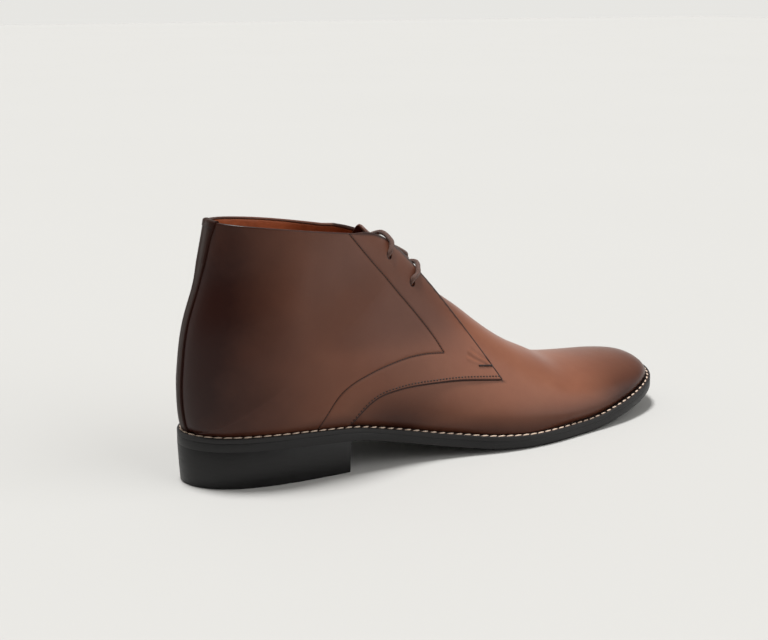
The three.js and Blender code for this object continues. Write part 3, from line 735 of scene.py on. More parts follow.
def stacked_bump(tree, layers):
    """Bumps laid over each other: each layer is a height, its depth in metres and its strength."""
    normal = None
    for height, depth, strength in layers:
        made = node(tree, "ShaderNodeBump",
                    inputs={"Height": height, "Distance": depth, "Strength": strength})
        if normal is not None:
            tree.links.new(normal, made.inputs["Normal"])
        normal = made.outputs["Normal"]
    return normal


# Dark ink on cut edges, also used as painted shadow along edges that stand over other leather.
EDGE_INK_AND_SHADE = "#2a110a"
WELT_INK = "#141213"


def smooth_calf(name, light, body, dark, roughness, ior):
    """Chrome-tanned calf, aniline dyed, waxed and burnished: a closed smooth grain with a soft gloss,
    clouded brown, and darker where the burnishing wheel worked and where painted shade stands in for light
    that falls off."""
    material, tree, place = new_material(name)
    cloud = noise(tree, place, 22.0, 4.0, 0.55)
    patina = noise(tree, place, 75.0, 3.0, 0.6)
    mottle = maths(tree, "ADD", maths(tree, "MULTIPLY", cloud, 0.75),
                   maths(tree, "MULTIPLY", patina, 0.25))
    base = ramp(tree, mottle, [(0.36, linear(body)), (0.66, linear(light))])
    uneven = maths(tree, "MULTIPLY", maths(tree, "SUBTRACT", cloud, 0.5), 0.5)
    # Painted shade: this mark darkens the colour where the light falls off, as well as where the leather
    # is really burnished.
    amount = maths(tree, "ADD", painted_on(tree, "burnish_and_shade"), uneven)
    mask = ramp(tree, amount, [(0.05, grey(0.0)), (0.95, grey(1.0))])
    burnished_and_shaded = blend(tree, mask, base, linear(dark))
    # Cut edges inked dark, and painted shadow beside edges that stand over other leather.
    colour = blend(tree, painted_on(tree, "ink_and_shade"), burnished_and_shaded, linear(EDGE_INK_AND_SHADE))
    # Pores and hair cells are 0.1 to 0.3 mm across.
    grain = node(tree, "ShaderNodeTexVoronoi", {"feature": "DISTANCE_TO_EDGE"},
                 {"Vector": place, "Scale": 1500.0}).outputs["Distance"]
    fine = noise(tree, place, 900.0, 4.0, 0.6)
    waves = noise(tree, place, 90.0, 2.0, 0.5)
    gloss = carried(tree, cloud, 0.3, 0.7, roughness - 0.05, roughness + 0.07)
    bump = stacked_bump(tree, [(waves, 0.0004, 0.2), (fine, 0.00008, 0.35), (grain, 0.00006, 0.3)])
    finish_material(tree, {"IOR": ior}, colour, gloss, bump)
    return material


def plain_leather(name, light, dark):
    """Vegetable-tanned leather: matt, with an open even grain, and black where its edge is inked."""
    material, tree, place = new_material(name)
    cloud = noise(tree, place, 60.0, 4.0, 0.6)
    natural = ramp(tree, cloud, [(0.35, linear(dark)), (0.65, linear(light))])
    colour = blend(tree, painted_on(tree, "ink_and_shade"), natural, linear(WELT_INK))
    grain = noise(tree, place, 1100.0, 4.0, 0.65)
    bump = stacked_bump(tree, [(cloud, 0.0005, 0.2), (grain, 0.0001, 0.5)])
    finish_material(tree, {"Roughness": 0.58, "IOR": 1.45}, colour, None, bump)
    return material


def moulded_rubber(name, body, worn, roughness):
    """Rubber ground at the edge and inked: near black, satin, with fine level streaks."""
    material, tree, place = new_material(name)
    streak = noise(tree, stretched(tree, place, (1.0, 1.0, 5.0)), 130.0, 4.0, 0.6)
    speck = noise(tree, place, 700.0, 3.0, 0.6)
    colour = ramp(tree, streak, [(0.35, linear(body)), (0.75, linear(worn))])
    gloss = carried(tree, streak, 0.3, 0.7, roughness - 0.05, roughness + 0.1)
    bump = stacked_bump(tree, [(streak, 0.0003, 0.25), (speck, 0.0001, 0.35)])
    finish_material(tree, {"IOR": 1.4}, colour, gloss, bump)
    return material


def twisted_thread(name, body, dark):
    """Waxed polyester thread in three twisted plies: a soft gloss and a diagonal ply line."""
    material, tree, place = new_material(name)
    ply = diagonal_lines(tree, place, 900.0, 1.0)
    colour = ramp(tree, ply, [(0.1, linear(dark)), (0.7, linear(body))])
    bump = stacked_bump(tree, [(ply, 0.0001, 0.4)])
    finish_material(tree, {"Roughness": 0.5, "IOR": 1.5}, colour, None, bump)
    return material


def braided_lace(name, body, dark):
    """Round waxed cotton lace, braided from fine yarns about 0.6 mm wide."""
    material, tree, place = new_material(name)
    along = node(tree, "ShaderNodeUVMap", {"uv_map": "UVMap"}).outputs["UV"]
    left = diagonal_lines(tree, along, 2.0)
    right = diagonal_lines(tree, stretched(tree, along, (-1.0, 1.0, 1.0)), 2.0)
    weave = maths(tree, "MULTIPLY", left, right)
    colour = ramp(tree, weave, [(0.0, linear(dark)), (0.6, linear(body))])
    fuzz = noise(tree, place, 2500.0, 2.0, 0.6)
    bump = stacked_bump(tree, [(weave, 0.0003, 0.6), (fuzz, 0.00005, 0.4)])
    finish_material(tree, {"Roughness": 0.62, "IOR": 1.5, "Sheen Weight": 0.15}, colour, None, bump)
    return material


# The dark colour serves burnished leather and painted shade.
CALF = smooth_calf("brown_waxed_calf", "#8c5a44", "#7f4e3a", "#2a0d06", 0.33, 1.32)
STRIP_CALF = smooth_calf("brown_calf_binding", "#60392a", "#4f2c1f", "#27130b", 0.5, 1.22)
LINING = plain_leather("orange_tan_lining_leather", "#c06438", "#a04e24")
WELT_LEATHER = plain_leather("dark_brown_welt_leather", "#33201a", "#241611")
SOLE_RUBBER = moulded_rubber("black_sole_rubber", "#0d0c0d", "#171617", 0.42)
HEEL_RUBBER = moulded_rubber("black_heel_rubber", "#0b0a0b", "#151415", 0.4)
WELT_THREAD = twisted_thread("beige_welt_thread", "#f4decb", "#c9ab90")
SEAM_THREAD = twisted_thread("brown_seam_thread", "#2e1910", "#1c0f09")
LACE_COTTON = braided_lace("brown_waxed_cotton_lace", "#7a5445", "#4a2f25")


def dressed(piece, material, slot, *nodes):
    """Gives a finished piece its material and its body, and hides the nodes that it stands for; the slot
    is not used.
    """
    piece.data.materials.clear()
    piece.data.materials.append(material)
    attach(piece, "root")
    if nodes:
        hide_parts(*nodes)
    return piece


def in_boot_frame(piece):
    """A piece's points in millimetres from the heel's back edge."""
    flat = np.zeros(len(piece.data.vertices) * 3)
    piece.data.vertices.foreach_get("co", flat)
    return flat.reshape(-1, 3) * 1000 + [ORIGIN, 0, 0]


def paint(piece, name, value):
    attribute = piece.data.attributes.new(name, "FLOAT", "POINT")
    attribute.data.foreach_set("value", np.clip(value, 0, 1).astype(np.float32))


def bell(value, centre, width):
    return np.exp(-(((value - centre) / width) ** 2))


def burnish_and_shade(piece):
    """Marks where the leather is darker. Part of it is real burnishing, and much is painted shade where
    the light falls off: the heel's back and the quarter, low by the welt, the waist, the toe's rim and the
    instep's upper front. Near the collar, on the outer side only, it is darker too. Each place has its
    strength, and how far it reaches in millimetres: along the boot, in height, or up from the welt."""
    p = in_boot_frame(piece)
    x, z = p[:, 0], p[:, 2]
    above = z - foot_line(np.clip(x, 0, SOLE_LENGTH))
    low = 0.7 * bell(above, 0, 11.0)
    waist = 0.8 * bell(x, 106, 40) * bell(above, 0, 25.0)
    heel = 0.6 * fade(x, 5, 80) + 0.36 * fade(x, 95, 75)
    instep = 0.55 * grow(z, 40, 30) * fade(x, 136, 40)
    toe = 0.9 * grow(x, 205, 50) * bell(above, 0, 18.0)
    collar = 0.5 * bell(collar_line(np.minimum(x, 95)) - z, 0, 7.0) * (x < 110) * (p[:, 1] < 0)
    paint(piece, "burnish_and_shade", np.maximum.reduce([low, waist, heel, instep, toe, collar]))


def mark_ink_and_shade(piece, share):
    """Marks where a cut edge is inked, where a seam line is darker, and where painted shadow lies along an
    edge that stands over other leather.
    """
    paint(piece, "ink_and_shade", share(in_boot_frame(piece)))


# The upper.
FORM = whole_form()

FACING_CURVE = drawn(FACING_SEAM)
HEEL_CURVE = drawn(HEEL_SEAM)
ROW_INSET = 1.7
ROW_CURVE = [tuple(p) for p in beside(EDGE_LINE, -ROW_INSET)[1:-2]]
LINED_EDGE = COLLAR + FACING_LINE
# The quarter's edges that lie over the vamp, where painted shadow goes on the vamp.
OVERLAP_EDGE = FACING_LINE + EDGE_LINE[1:]
GROOVE_WIDTH = 0.9
GROOVE_DEPTH = 0.3
FOLD = 0.9
TURN_IN = 0.1
TACK_FOLD_WIDTH = 0.85
# Short folds that run into the bar tack, with their heights.
TACK_FOLDS = [
    ([(152.0, 50.4), (156.0, 47.2), (162.0, 43.4)], 0.32),
    ([(154.6, 50.8), (158.4, 47.6), (163.4, 44.2)], -0.32),
    ([(150.0, 47.4), (154.0, 45.4), (159.0, 42.9)], 0.28),
    ([(150.8, 49.0), (154.6, 46.2), (160.4, 43.0)], -0.28),
]


def near_eyelets(p):
    return hole_depth(p) < 3.0


def near_tack(p):
    """Whether points lie by the small folds that run into the bar tack."""
    return np.hypot(p[:, 0] - 155, p[:, 2] - 47.5) < 10


def seam_distance(p):
    return np.minimum(distance_to(FACING_CURVE, p), distance_to(HEEL_CURVE, p))


def row_distance(p):
    return distance_to(ROW_CURVE, p)


def lined_depth(p):
    return distance_to(LINED_EDGE, p)


def fold_height(p):
    return sum(height * bell(distance_to(drawn(line), p), 0, TACK_FOLD_WIDTH)
               for line, height in TACK_FOLDS)


def over_collar(p):
    return p[:, 2] - collar_line(p[:, 0])


def quarter_top(p):
    groove = GROOVE_DEPTH * fade(seam_distance(p), 0, GROOVE_WIDTH)
    flat = np.where(edge_depth(p) > EDGE_ROUND, fold_height(p) - groove, 0)
    return rounded(edge_depth(p), QUARTER_LEATHER) + flat


def quarter_low(p):
    """The underside, which turns over the collar's edge and meets the lining's thickness there."""
    fold = fade(lined_depth(p), FOLD, TURN_IN)
    return -0.02 - LINING_LEATHER * fold * rounded(edge_depth(p), 1.0)


def quarter_ink_and_shade(p):
    facing = distance_to(FACING_LINE, p)
    lower = distance_to(EDGE_LINE, p)
    # The edges' own ink, widened along the lower edge as painted shadow beneath it.
    on_edge = fade(np.minimum(facing - 0.05, lower - 0.35), 0.6, 0.3)
    in_seam = 0.45 * fade(seam_distance(p), 0.15, 0.3)
    hole = fade(hole_depth(p), 0.1, 0.4)
    # Darker in a band just under the collar's edge, on the outer side only.
    rim = 0.8 * fade(-over_collar(p), 0.4, 0.4) * (p[:, 1] < 0)
    return np.maximum.reduce([on_edge, in_seam, hole, rim])


def cut_at(patch, value, levels):
    for level in levels:
        patch, _ = patch.cut(lambda p, level=level: value(p) - level)
    return patch


def make_quarters():
    patch = FORM.refined(near_tack, 2).refined(near_eyelets, 3).kept(edge_depth)
    patch = cut_at(patch, edge_depth, (0.06, 0.2, EDGE_ROUND, 0.95, 1.35))
    patch = cut_at(patch, lined_depth, (FOLD, FOLD + TURN_IN))
    for line in (FACING_CURVE, HEEL_CURVE, ROW_CURVE):
        patch, _ = patch.cut(lambda p, line=line: side_of(line, p))
    patch = cut_at(patch, seam_distance, (0.25, 0.5, GROOVE_WIDTH))
    patch = cut_at(patch, row_distance, (0.2, 0.5))
    piece = sheet_between("quarters", patch, quarter_top, quarter_low)
    burnish_and_shade(piece)
    mark_ink_and_shade(piece, quarter_ink_and_shade)
    return piece


LINING_SINK = 0.06


def lining_depth(p):
    return np.minimum(edge_depth(p), lined_depth(p) - FOLD - 0.12)


def make_lining():
    patch = FORM.refined(near_eyelets, 3).kept(edge_depth).kept(lining_depth)
    patch = cut_at(patch, lining_depth, (0.06, 0.2, EDGE_ROUND))
    return sheet_between("quarter_lining", patch, lambda p: np.full(len(p), -LINING_SINK),
                         lambda p: -LINING_SINK - rounded(lining_depth(p), LINING_LEATHER - 0.1))


TONGUE_TOP = 122.3
TONGUE_FOOT = 56.0
TONGUE_HALF = 17.0
TONGUE_CROWN = 0.053
VAMP_LEATHER = 1.6
VAMP_ROUND = 0.8
VAMP_TUCK = 6.0
THROAT = 82.0


def tongue_depth(p):
    """How far a point lies inside the tongue's edge."""
    y = p[:, 1] - middle(p[:, 0])
    top = TONGUE_TOP - TONGUE_CROWN * y**2
    return np.minimum.reduce([TONGUE_HALF - np.abs(y), top - p[:, 2], p[:, 2] - TONGUE_FOOT])


def vamp_depth(p):
    return np.maximum(np.minimum(VAMP_TUCK - quarter_depth(p), THROAT - p[:, 2]), tongue_depth(p))


def tongue_drop(p):
    """How far the tongue lies below the form, so that the laces pass over it under the facings."""
    return TONGUE_DROP * grow(p[:, 2], 66.0, 22.0) + 0.9 * grow(p[:, 2], 110.0, 10.0)


def vamp_top(p):
    tucked = 0.06 * grow(quarter_depth(p), -0.5, 1)
    return -tucked - tongue_drop(p) - (VAMP_ROUND - rounded(vamp_depth(p), VAMP_ROUND))


# Painted shadow on the vamp beside the quarter's edges that lie over it.
def vamp_edge_shadow(p):
    return 0.8 * fade(distance_to(OVERLAP_EDGE, p), 0, 0.35)


def make_vamp():
    patch = cut_at(FORM.kept(vamp_depth), vamp_depth, (0.2, EDGE_ROUND))
    patch = cut_at(patch, quarter_depth, (-0.35, 0.0))
    piece = sheet_between("vamp_and_tongue", patch, vamp_top, lambda p: -VAMP_LEATHER - tongue_drop(p))
    burnish_and_shade(piece)
    mark_ink_and_shade(piece, vamp_edge_shadow)
    return piece


# Half width of the strip up the back of the heel, by height.
STRIP = [(20.0, 4.4), (33.0, 3.2), (45.0, 2.7), (80.0, 2.8), (98.0, 3.2), (110.0, 4.2), (120.0, 4.8),
         (128.0, 6.0), (140.0, 6.0)]
STRIP_LEATHER = 0.8
STRIP_FOLD = 8.0
STRIP_ROUND = 0.4
# The strip's fold over the collar: how far down its cap reaches, the cap's thickness, and the width
# of the step at its end and of the bend over the collar's edge.
CAP_LENGTH = 2.9
CAP_STEP = 0.25
CAP_RUN = 0.12
CAP_BEND = 0.8


def strip_side(p):
    return np.where(p[:, 0] < 45, follow(STRIP, 1, p[:, 2]) - np.abs(p[:, 1]), -1.0)


def strip_patch(low):
    patch = FORM.refined(lambda p: (strip_side(p) > -2) & (p[:, 2] > 20), 1)
    patch = patch.kept(lambda p: STRIP_LEATHER - over_collar(p)).kept(strip_side)
    patch = patch.kept(lambda p: over_collar(p) - low)
    patch = cut_at(patch, over_collar, (-CAP_LENGTH - CAP_RUN, -CAP_LENGTH, -CAP_BEND, -0.3, 0.0, 0.3, 0.6,
                                        0.74))
    return cut_at(patch, strip_side, (0.08, 0.3, 0.5))


def cap_share(p):
    t = np.clip((over_collar(p) + CAP_BEND) / (STRIP_LEATHER + CAP_BEND), 0, 1)
    return np.sqrt(1 - t**3)


def cap_step(p):
    return CAP_STEP * grow(over_collar(p), -CAP_LENGTH - CAP_RUN, CAP_RUN)


# The strip's inked sides, partly painted shadow beside its edges, and a dark line where the cap ends.
def strip_ink_and_shade(p):
    side = fade(strip_side(p), 0.1, 0.35)
    cap = 0.8 * bell(over_collar(p), -CAP_LENGTH - 0.1, 0.25)
    return np.maximum(side, cap)


def make_strip():
    """A leaf outside and a leaf inside the collar, which meet in the fold over its edge."""
    def round_side(p):
        return rounded(strip_side(p), 1.0, STRIP_ROUND)

    def under(height):
        return lambda p: mix(height, -0.1, grow(over_collar(p), -0.3, 0.3))

    outer = sheet_between(
        "back_strip_outside", strip_patch(-COLLAR_HEIGHT),
        lambda p: (QUARTER_LEATHER + (STRIP_LEATHER + cap_step(p)) * round_side(p) + 0.1)
        * cap_share(p) - 0.1, under(QUARTER_LEATHER - 0.06))
    inner = sheet_between(
        "back_strip_inside", strip_patch(-STRIP_FOLD), under(-LINING_LEATHER + 0.02),
        lambda p: -(LINING_LEATHER + STRIP_LEATHER * round_side(p) - 0.1) * cap_share(p) - 0.1)
    for piece in (outer, inner):
        burnish_and_shade(piece)
        mark_ink_and_shade(piece, strip_ink_and_shade)
    return outer, inner


dressed(make_quarters(), CALF, "upper_leather", "upper")
dressed(make_vamp(), CALF, "upper_leather", "tongue")
dressed(make_lining(), LINING, "insole")
strip_outside, strip_inside = make_strip()
dressed(strip_outside, STRIP_CALF, "strip_leather", "back_strip")
dressed(strip_inside, STRIP_CALF, "strip_leather")


# The bottom.


def band(size, a, b):
    """Faces between two closed rows of points, which are given by their numbers."""
    return [(a * size + i, a * size + (i + 1) % size, b * size + (i + 1) % size, b * size + i)
            for i in range(size)]


def stacked_rings(name, profile, closed_inside):
    """A solid from closed lines round the sole: each has an inset and a height along the sole."""
    points, faces = [], []
    size = 2 * RING_STEPS
    for inset, height in profile:
        line = ring(inset)
        points.append(np.column_stack([line, height(line[:, 0])]))
    levels = len(profile)
    for k in range(levels - 1):
        faces += band(size, k, k + 1)
    if closed_inside:
        faces += band(size, levels - 1, 0)
    else:
        for first in (0, (levels - 1) * size):
            faces += [(first + i, first + i + 1, first + (size - i - 1) % size,
                       first + (size - i) % size) for i in range(RING_STEPS)]
    return mesh_object(name, np.vstack(points), faces)


def over(base, amount):
    return lambda x: base(x) + amount


def ahead_of_heel(amount):
    """A rounding that is worked only ahead of the heel, where the sole's lower edge is free."""
    return lambda x: amount * (0.06 + 0.94 * grow(x, HEEL_LENGTH, 5))


def eased(share):
    return lambda x: underside(x) + ahead_of_heel(share)(x)


def make_outsole():
    return stacked_rings("outsole_rubber", [
        (ahead_of_heel(1.0), underside), (ahead_of_heel(0.3), eased(0.25)), (0.0, eased(1.0)),
        (0.0, over(underside, 4.1)), (0.06, over(underside, 4.25)), (0.4, over(underside, 4.28)),
    ], False)


STITCH_INSET = 1.75
# How far in from the welt's edge the ink reaches on top, and how far up its side.
WELT_INK_WIDTH, WELT_INK_HEIGHT = 0.75, 1.0
# The welt's section, as inset and height: a rounded edge, and a groove for the stitches.
WELT_SECTION = [
    (8.0, 0.0), (0.4, 0.0), (0.06, 0.05), (0.0, 0.2), (0.0, 1.9), (0.12, 2.3), (0.5, 2.5), (0.9, 2.5),
    (1.1, 2.5), (1.4, 2.25), (2.1, 2.25), (2.4, 2.5), (8.0, 2.5),
]


def make_welt():
    rings = [(inset, over(welt_floor, height)) for inset, height in WELT_SECTION]
    return stacked_rings("welt_strip", rings, True)


def welt_ink(p):
    x = np.clip(p[:, 0], 0, SOLE_LENGTH)
    height = p[:, 2] - welt_floor(x)
    gap = p[:, None, :2] - ring(0.0)[None]
    edge = np.sqrt((gap**2).sum(axis=2).min(axis=1))
    return np.where((edge < WELT_INK_WIDTH) | (height < WELT_INK_HEIGHT), 1.0, 0.0)


def heel_line(inset, steps=90):
    """The heel block's outline, cut off by its slightly hollow breast."""
    outer, inner = outline(inset, steps, math.acos(1 - 2 * (HEEL_LENGTH / SOLE_LENGTH)))
    across = np.linspace(-1, 1, 25)[1:-1]
    breast = np.stack([HEEL_LENGTH - BREAST_HOLLOW * (1 - across**2) - inset * 0.2,
                       mix(outer[-1][1], inner[-1][1], (across + 1) / 2)], -1)
    return np.concatenate([outer, breast, inner[1:][::-1]])


# A small nick in the heel's lower edge, on the outer side: its place along, half width and depth.
NICK_PLACE, NICK_WIDTH, NICK_DEPTH = 45.5, 0.8, 0.55


def level_at(height):
    return lambda x: x * 0 + height


def make_heel():
    rows = [(HEEL_TAPER + 0.7, level_at(0.0)), (HEEL_TAPER + 0.2, level_at(0.2)),
            (HEEL_TAPER, level_at(0.6)), (HEEL_TAPER * 0.5, level_at(8.0)),
            (0.0, over(underside, -0.12)), (0.06, over(underside, -0.02))]
    nicked_rows = 3
    points = []
    for level, (inset, height) in enumerate(rows):
        line = heel_line(inset)
        if level < nicked_rows:
            line[:, 1] += NICK_DEPTH * bell(line[:, 0], NICK_PLACE, NICK_WIDTH) * (line[:, 1] < 0)
        points.append(np.column_stack([line, height(line[:, 0])]))
    size = len(points[0])
    faces = [tuple(range(size)), tuple(range((len(rows) - 1) * size, len(rows) * size))]
    for k in range(len(rows) - 1):
        faces += band(size, k, k + 1)
    return mesh_object("heel_lifts", np.vstack(points), faces)


def make_sock():
    floor = over(foot_line, 2.3)
    return stacked_rings("insole_sock", [
        (7.4, floor), (7.0, over(floor, 1.0)), (7.6, over(floor, 2.6)), (9.0, over(floor, 3.0)),
        (16.0, over(floor, 3.0)),
    ], False)


outsole = dressed(make_outsole(), SOLE_RUBBER, "sole", "outsole")
welt = dressed(make_welt(), WELT_LEATHER, "welt", "welt")
mark_ink_and_shade(welt, welt_ink)
heel = dressed(make_heel(), HEEL_RUBBER, "heel", "heel_block")
sock = dressed(make_sock(), LINING, "insole", "insole")
SHARP_EDGE = math.radians(40)
for piece in (outsole, welt, heel, sock):
    piece.data.set_sharp_from_angle(angle=SHARP_EDGE)


# Stitches, one point each with its run and the way out of the leather.


STITCH_SIZES = ("Stitch Length", "Thread Width", "Thread Height", "Slant")


def stitch_tree(name, material):
    tree = bpy.data.node_groups.new(name, "GeometryNodeTree")
    tree.interface.new_socket("Geometry", in_out="INPUT", socket_type="NodeSocketGeometry")
    for label in STITCH_SIZES:
        tree.interface.new_socket(label, in_out="INPUT", socket_type="NodeSocketFloat")
    tree.interface.new_socket("Geometry", in_out="OUTPUT", socket_type="NodeSocketGeometry")
    start = node(tree, "NodeGroupInput")
    bead = node(tree, "GeometryNodeMeshUVSphere", inputs={"Segments": 8, "Rings": 6, "Radius": 0.5})
    size = node(tree, "ShaderNodeCombineXYZ", inputs={
        "X": start.outputs["Stitch Length"], "Y": start.outputs["Thread Width"],
        "Z": start.outputs["Thread Height"]})
    run, out = (node(tree, "GeometryNodeInputNamedAttribute", {"data_type": "FLOAT_VECTOR"},
                     {"Name": label}).outputs["Attribute"] for label in ("run", "out"))
    upright = node(tree, "FunctionNodeAlignRotationToVector", {"axis": "Z"}, {"Vector": out})
    turned = node(tree, "FunctionNodeAlignRotationToVector", {"axis": "X", "pivot_axis": "Z"},
                  {"Rotation": upright.outputs["Rotation"], "Vector": run})
    slant = node(tree, "ShaderNodeCombineXYZ", inputs={"Z": start.outputs["Slant"]})
    tilt = node(tree, "FunctionNodeRotateRotation", {"rotation_space": "LOCAL"},
                {"Rotation": turned.outputs["Rotation"], "Rotate By": slant.outputs["Vector"]})
    placed = node(tree, "GeometryNodeInstanceOnPoints", inputs={
        "Points": start.outputs["Geometry"], "Instance": bead.outputs["Mesh"],
        "Rotation": tilt.outputs["Rotation"], "Scale": size.outputs["Vector"]})
    real = node(tree, "GeometryNodeRealizeInstances", inputs={"Geometry": placed.outputs["Instances"]})
    smooth = node(tree, "GeometryNodeSetShadeSmooth", inputs={"Geometry": real.outputs["Geometry"]})
    painted = node(tree, "GeometryNodeSetMaterial",
                   inputs={"Geometry": smooth.outputs["Geometry"], "Material": material})
    end = node(tree, "NodeGroupOutput")
    tree.links.new(painted.outputs["Geometry"], end.inputs["Geometry"])
    return tree


def stitches(name, places, runs, outs, stitch, material, slot):
    """A row of stitches as one plain mesh."""
    mesh = bpy.data.meshes.new(name + "_places")
    mesh.from_pydata([tuple(p) for p in metres(places)], [], [])
    for label, values in (("run", runs), ("out", outs)):
        attribute = mesh.attributes.new(label, "FLOAT_VECTOR", "POINT")
        attribute.data.foreach_set("vector", np.asarray(values, np.float32).ravel())
    carrier = add_object(name + "_places", mesh)
    modifier = carrier.modifiers.new("stitches", "NODES")
    modifier.node_group = stitch_tree(name + "_tree", material)
    sockets = {i.name: i.identifier for i in modifier.node_group.interface.items_tree
               if i.in_out == "INPUT"}
    for label, value in zip(STITCH_SIZES, stitch):
        modifier[sockets[label]] = value
    graph = bpy.context.evaluated_depsgraph_get()
    made = bpy.data.meshes.new_from_object(carrier.evaluated_get(graph), depsgraph=graph)
    bpy.data.objects.remove(carrier)
    dressed(add_object(name, made), material, slot)


RUN_REACH = 0.3


def evenly(line, pitch):
    """Points a pitch apart along a line of points, with the run at each."""
    line = np.asarray(line, float)
    gap = np.linalg.norm(np.diff(line, axis=0), axis=1)
    length = np.concatenate([[0], np.cumsum(gap)])
    count = max(1, int(round(length[-1] / pitch)))
    at = (np.arange(count) + 0.5) * length[-1] / count

    def along(places):
        return np.stack([np.interp(places, length, column) for column in line.T], 1)

    run = along(np.minimum(at + RUN_REACH, length[-1])) - along(np.maximum(at - RUN_REACH, 0))
    return along(at), unit(run)


# Kinds of stitch: length, width and height in metres, and how far each slants, in radians.
WELT_STITCH = (0.0045, 0.001, 0.0009, 0.1)
SEAM_STITCH = (0.0014, 0.00045, 0.00045, 0.06)
EDGE_STITCH = (0.0012, 0.0008, 0.0008, 0.06)
TACK_STITCH = (0.00095, 0.0013, 0.0013, 0.06)
WELT_PITCH = 4.8
SEAM_PITCH = 1.6
EDGE_PITCH = 1.9
TACK_PITCH = 1.0


def welt_stitches():
    line = ring(STITCH_INSET)
    line = np.vstack([line, line[:1]])
    place, run = evenly(np.column_stack([line, welt_top(line[:, 0]) - 0.02]), WELT_PITCH)
    out = np.tile([0.0, 0.0, 1.0], (len(place), 1))
    stitches("welt_stitches", place, run, out, WELT_STITCH, WELT_THREAD, "welt")


def seam_stitches(name, line, lift, pitch, stitch):
    """A row of stitches on both sides of the boot along a line of the side view."""
    rows = []
    side_line = np.array(line, float)
    for side in (-1, 1):
        path, _ = on_form(side_line[:, 0], side_line[:, 1], side, lift)
        place, run = evenly(path, pitch)
        _, out = on_form(place[:, 0], place[:, 2], side, lift)
        rows.append((place, run, out))
    places, runs, outs = (np.vstack(part) for part in zip(*rows))
    stitches(name, places, runs, outs, stitch, SEAM_THREAD, "upper_leather")


welt_stitches()
seam_stitches("facing_seam", FACING_CURVE, QUARTER_LEATHER - 0.12, SEAM_PITCH, SEAM_STITCH)
seam_stitches("counter_seam", HEEL_CURVE, QUARTER_LEATHER - 0.12, SEAM_PITCH, SEAM_STITCH)
seam_stitches("quarter_edge_seam", ROW_CURVE, QUARTER_LEATHER + 0.04, EDGE_PITCH, EDGE_STITCH)
seam_stitches("bar_tack", smooth_line(TACK), QUARTER_LEATHER + 0.1, TACK_PITCH, TACK_STITCH)


# Laces.
LACE_RADIUS = 1.3
LACE_SIDES = 12
LACE_STEP = 0.5
YARNS_AROUND = 4.0


def lace(name, line):
    """A round lace along a smooth line, with its length in millimetres as the UV's first value."""
    path = smooth_line(line, LACE_STEP)
    run = unit(np.gradient(path, axis=0))
    length = np.concatenate([[0], np.cumsum(np.linalg.norm(np.diff(path, axis=0), axis=1))])
    side = np.cross(run[0], [0.3, 0.2, 1.0])
    turn = np.arange(LACE_SIDES) * 2 * math.pi / LACE_SIDES
    points = []
    for k in range(len(path)):
        side = side - run[k] * np.dot(side, run[k])
        side /= np.linalg.norm(side)
        up = np.cross(run[k], side)
        points.append(path[k] + LACE_RADIUS * (np.cos(turn)[:, None] * side + np.sin(turn)[:, None] * up))
    count = len(path)
    faces, corners = [], []
    for k in range(count - 1):
        faces += band(LACE_SIDES, k, k + 1)
        for i in range(LACE_SIDES):
            near, far = i / LACE_SIDES, (i + 1) / LACE_SIDES
            corners += [(length[k], near), (length[k], far), (length[k + 1], far), (length[k + 1], near)]
    faces.append(tuple(range(LACE_SIDES))[::-1])
    faces.append(tuple(range((count - 1) * LACE_SIDES, count * LACE_SIDES)))
    corners += [(0.0, 0.0)] * LACE_SIDES + [(length[-1], 0.0)] * LACE_SIDES
    mesh = bpy.data.meshes.new(name)
    mesh.from_pydata([tuple(p) for p in metres(np.vstack(points))], [], faces)
    layer = mesh.uv_layers.new(name="UVMap")
    layer.data.foreach_set("uv", (np.array(corners, np.float32) * [1.0, YARNS_AROUND]).ravel())
    mesh.shade_smooth()
    return add_object(name, mesh)


def ridge_place(ahead, height):
    """A point over the ridge of the form, out of its surface by a height."""
    step = 0.002
    (x, z), (next_x, next_z) = ((mix(COLLAR_FRONT, FOOT_TIP, t), float(follow(RIDGE_LINE, 1, t)))
                                for t in (ahead, ahead + step))
    run, fall = next_x - x, z - next_z
    lift = height / math.hypot(fall, run)
    return (x + fall * lift, float(middle(x)), z + run * lift)


# A lace's way out of the leather at an eyelet: ahead, up, and out of the form.
LACE_START = [(-1.5, -3.2, -4.0), (-0.6, -1.2, -2.6), (0.0, 0.0, -0.4), (0.7, 1.7, 1.7)]
# From each eyelet: to the shoulder over the facing's edge, ahead and up, and over the ridge.
LACE_BARS = [((2.6, 5.4), 0.104, 0.9), ((5.6, 4.2), 0.204, 2.2)]
LACE_OVER = 2.3


def lace_bar(eyelet, shoulder, crest, height):
    """A lace out of one eyelet, over both facing edges and into the eyelet across from it."""
    ways = LACE_START + [(share * shoulder[0], share * shoulder[1], LACE_OVER) for share in (0.6, 1)]
    halves = [[on_form(eyelet[0] + ahead, eyelet[1] + up, side, lift)[0][0] for ahead, up, lift in ways]
              for side in (-1, 1)]
    return halves[0] + [ridge_place(crest, height)] + halves[1][::-1]


# Where the laces cross, as a share of the ridge, and how far one lies over the other.
CROSSING_PLACE = 0.176
CROSSING_OVER = 1.2


def crossing_lace(sign):
    """A lace from under one facing by the upper eyelet to under the other by the lower one."""
    start = [on_form(x, z, -sign, lift)[0][0] for x, z, lift in (
        (112.0, 105.0, -2.6), (114.5, 107.2, -2.3), (117.2, 108.9, -1.6))]
    end = [on_form(x, z, sign, lift)[0][0] for x, z, lift in (
        (129.0, 98.6, -1.6), (128.4, 96.0, -2.3), (127.0, 92.0, -2.6))]
    return start + [ridge_place(CROSSING_PLACE, 0.8 + 0.5 * sign * CROSSING_OVER)] + end


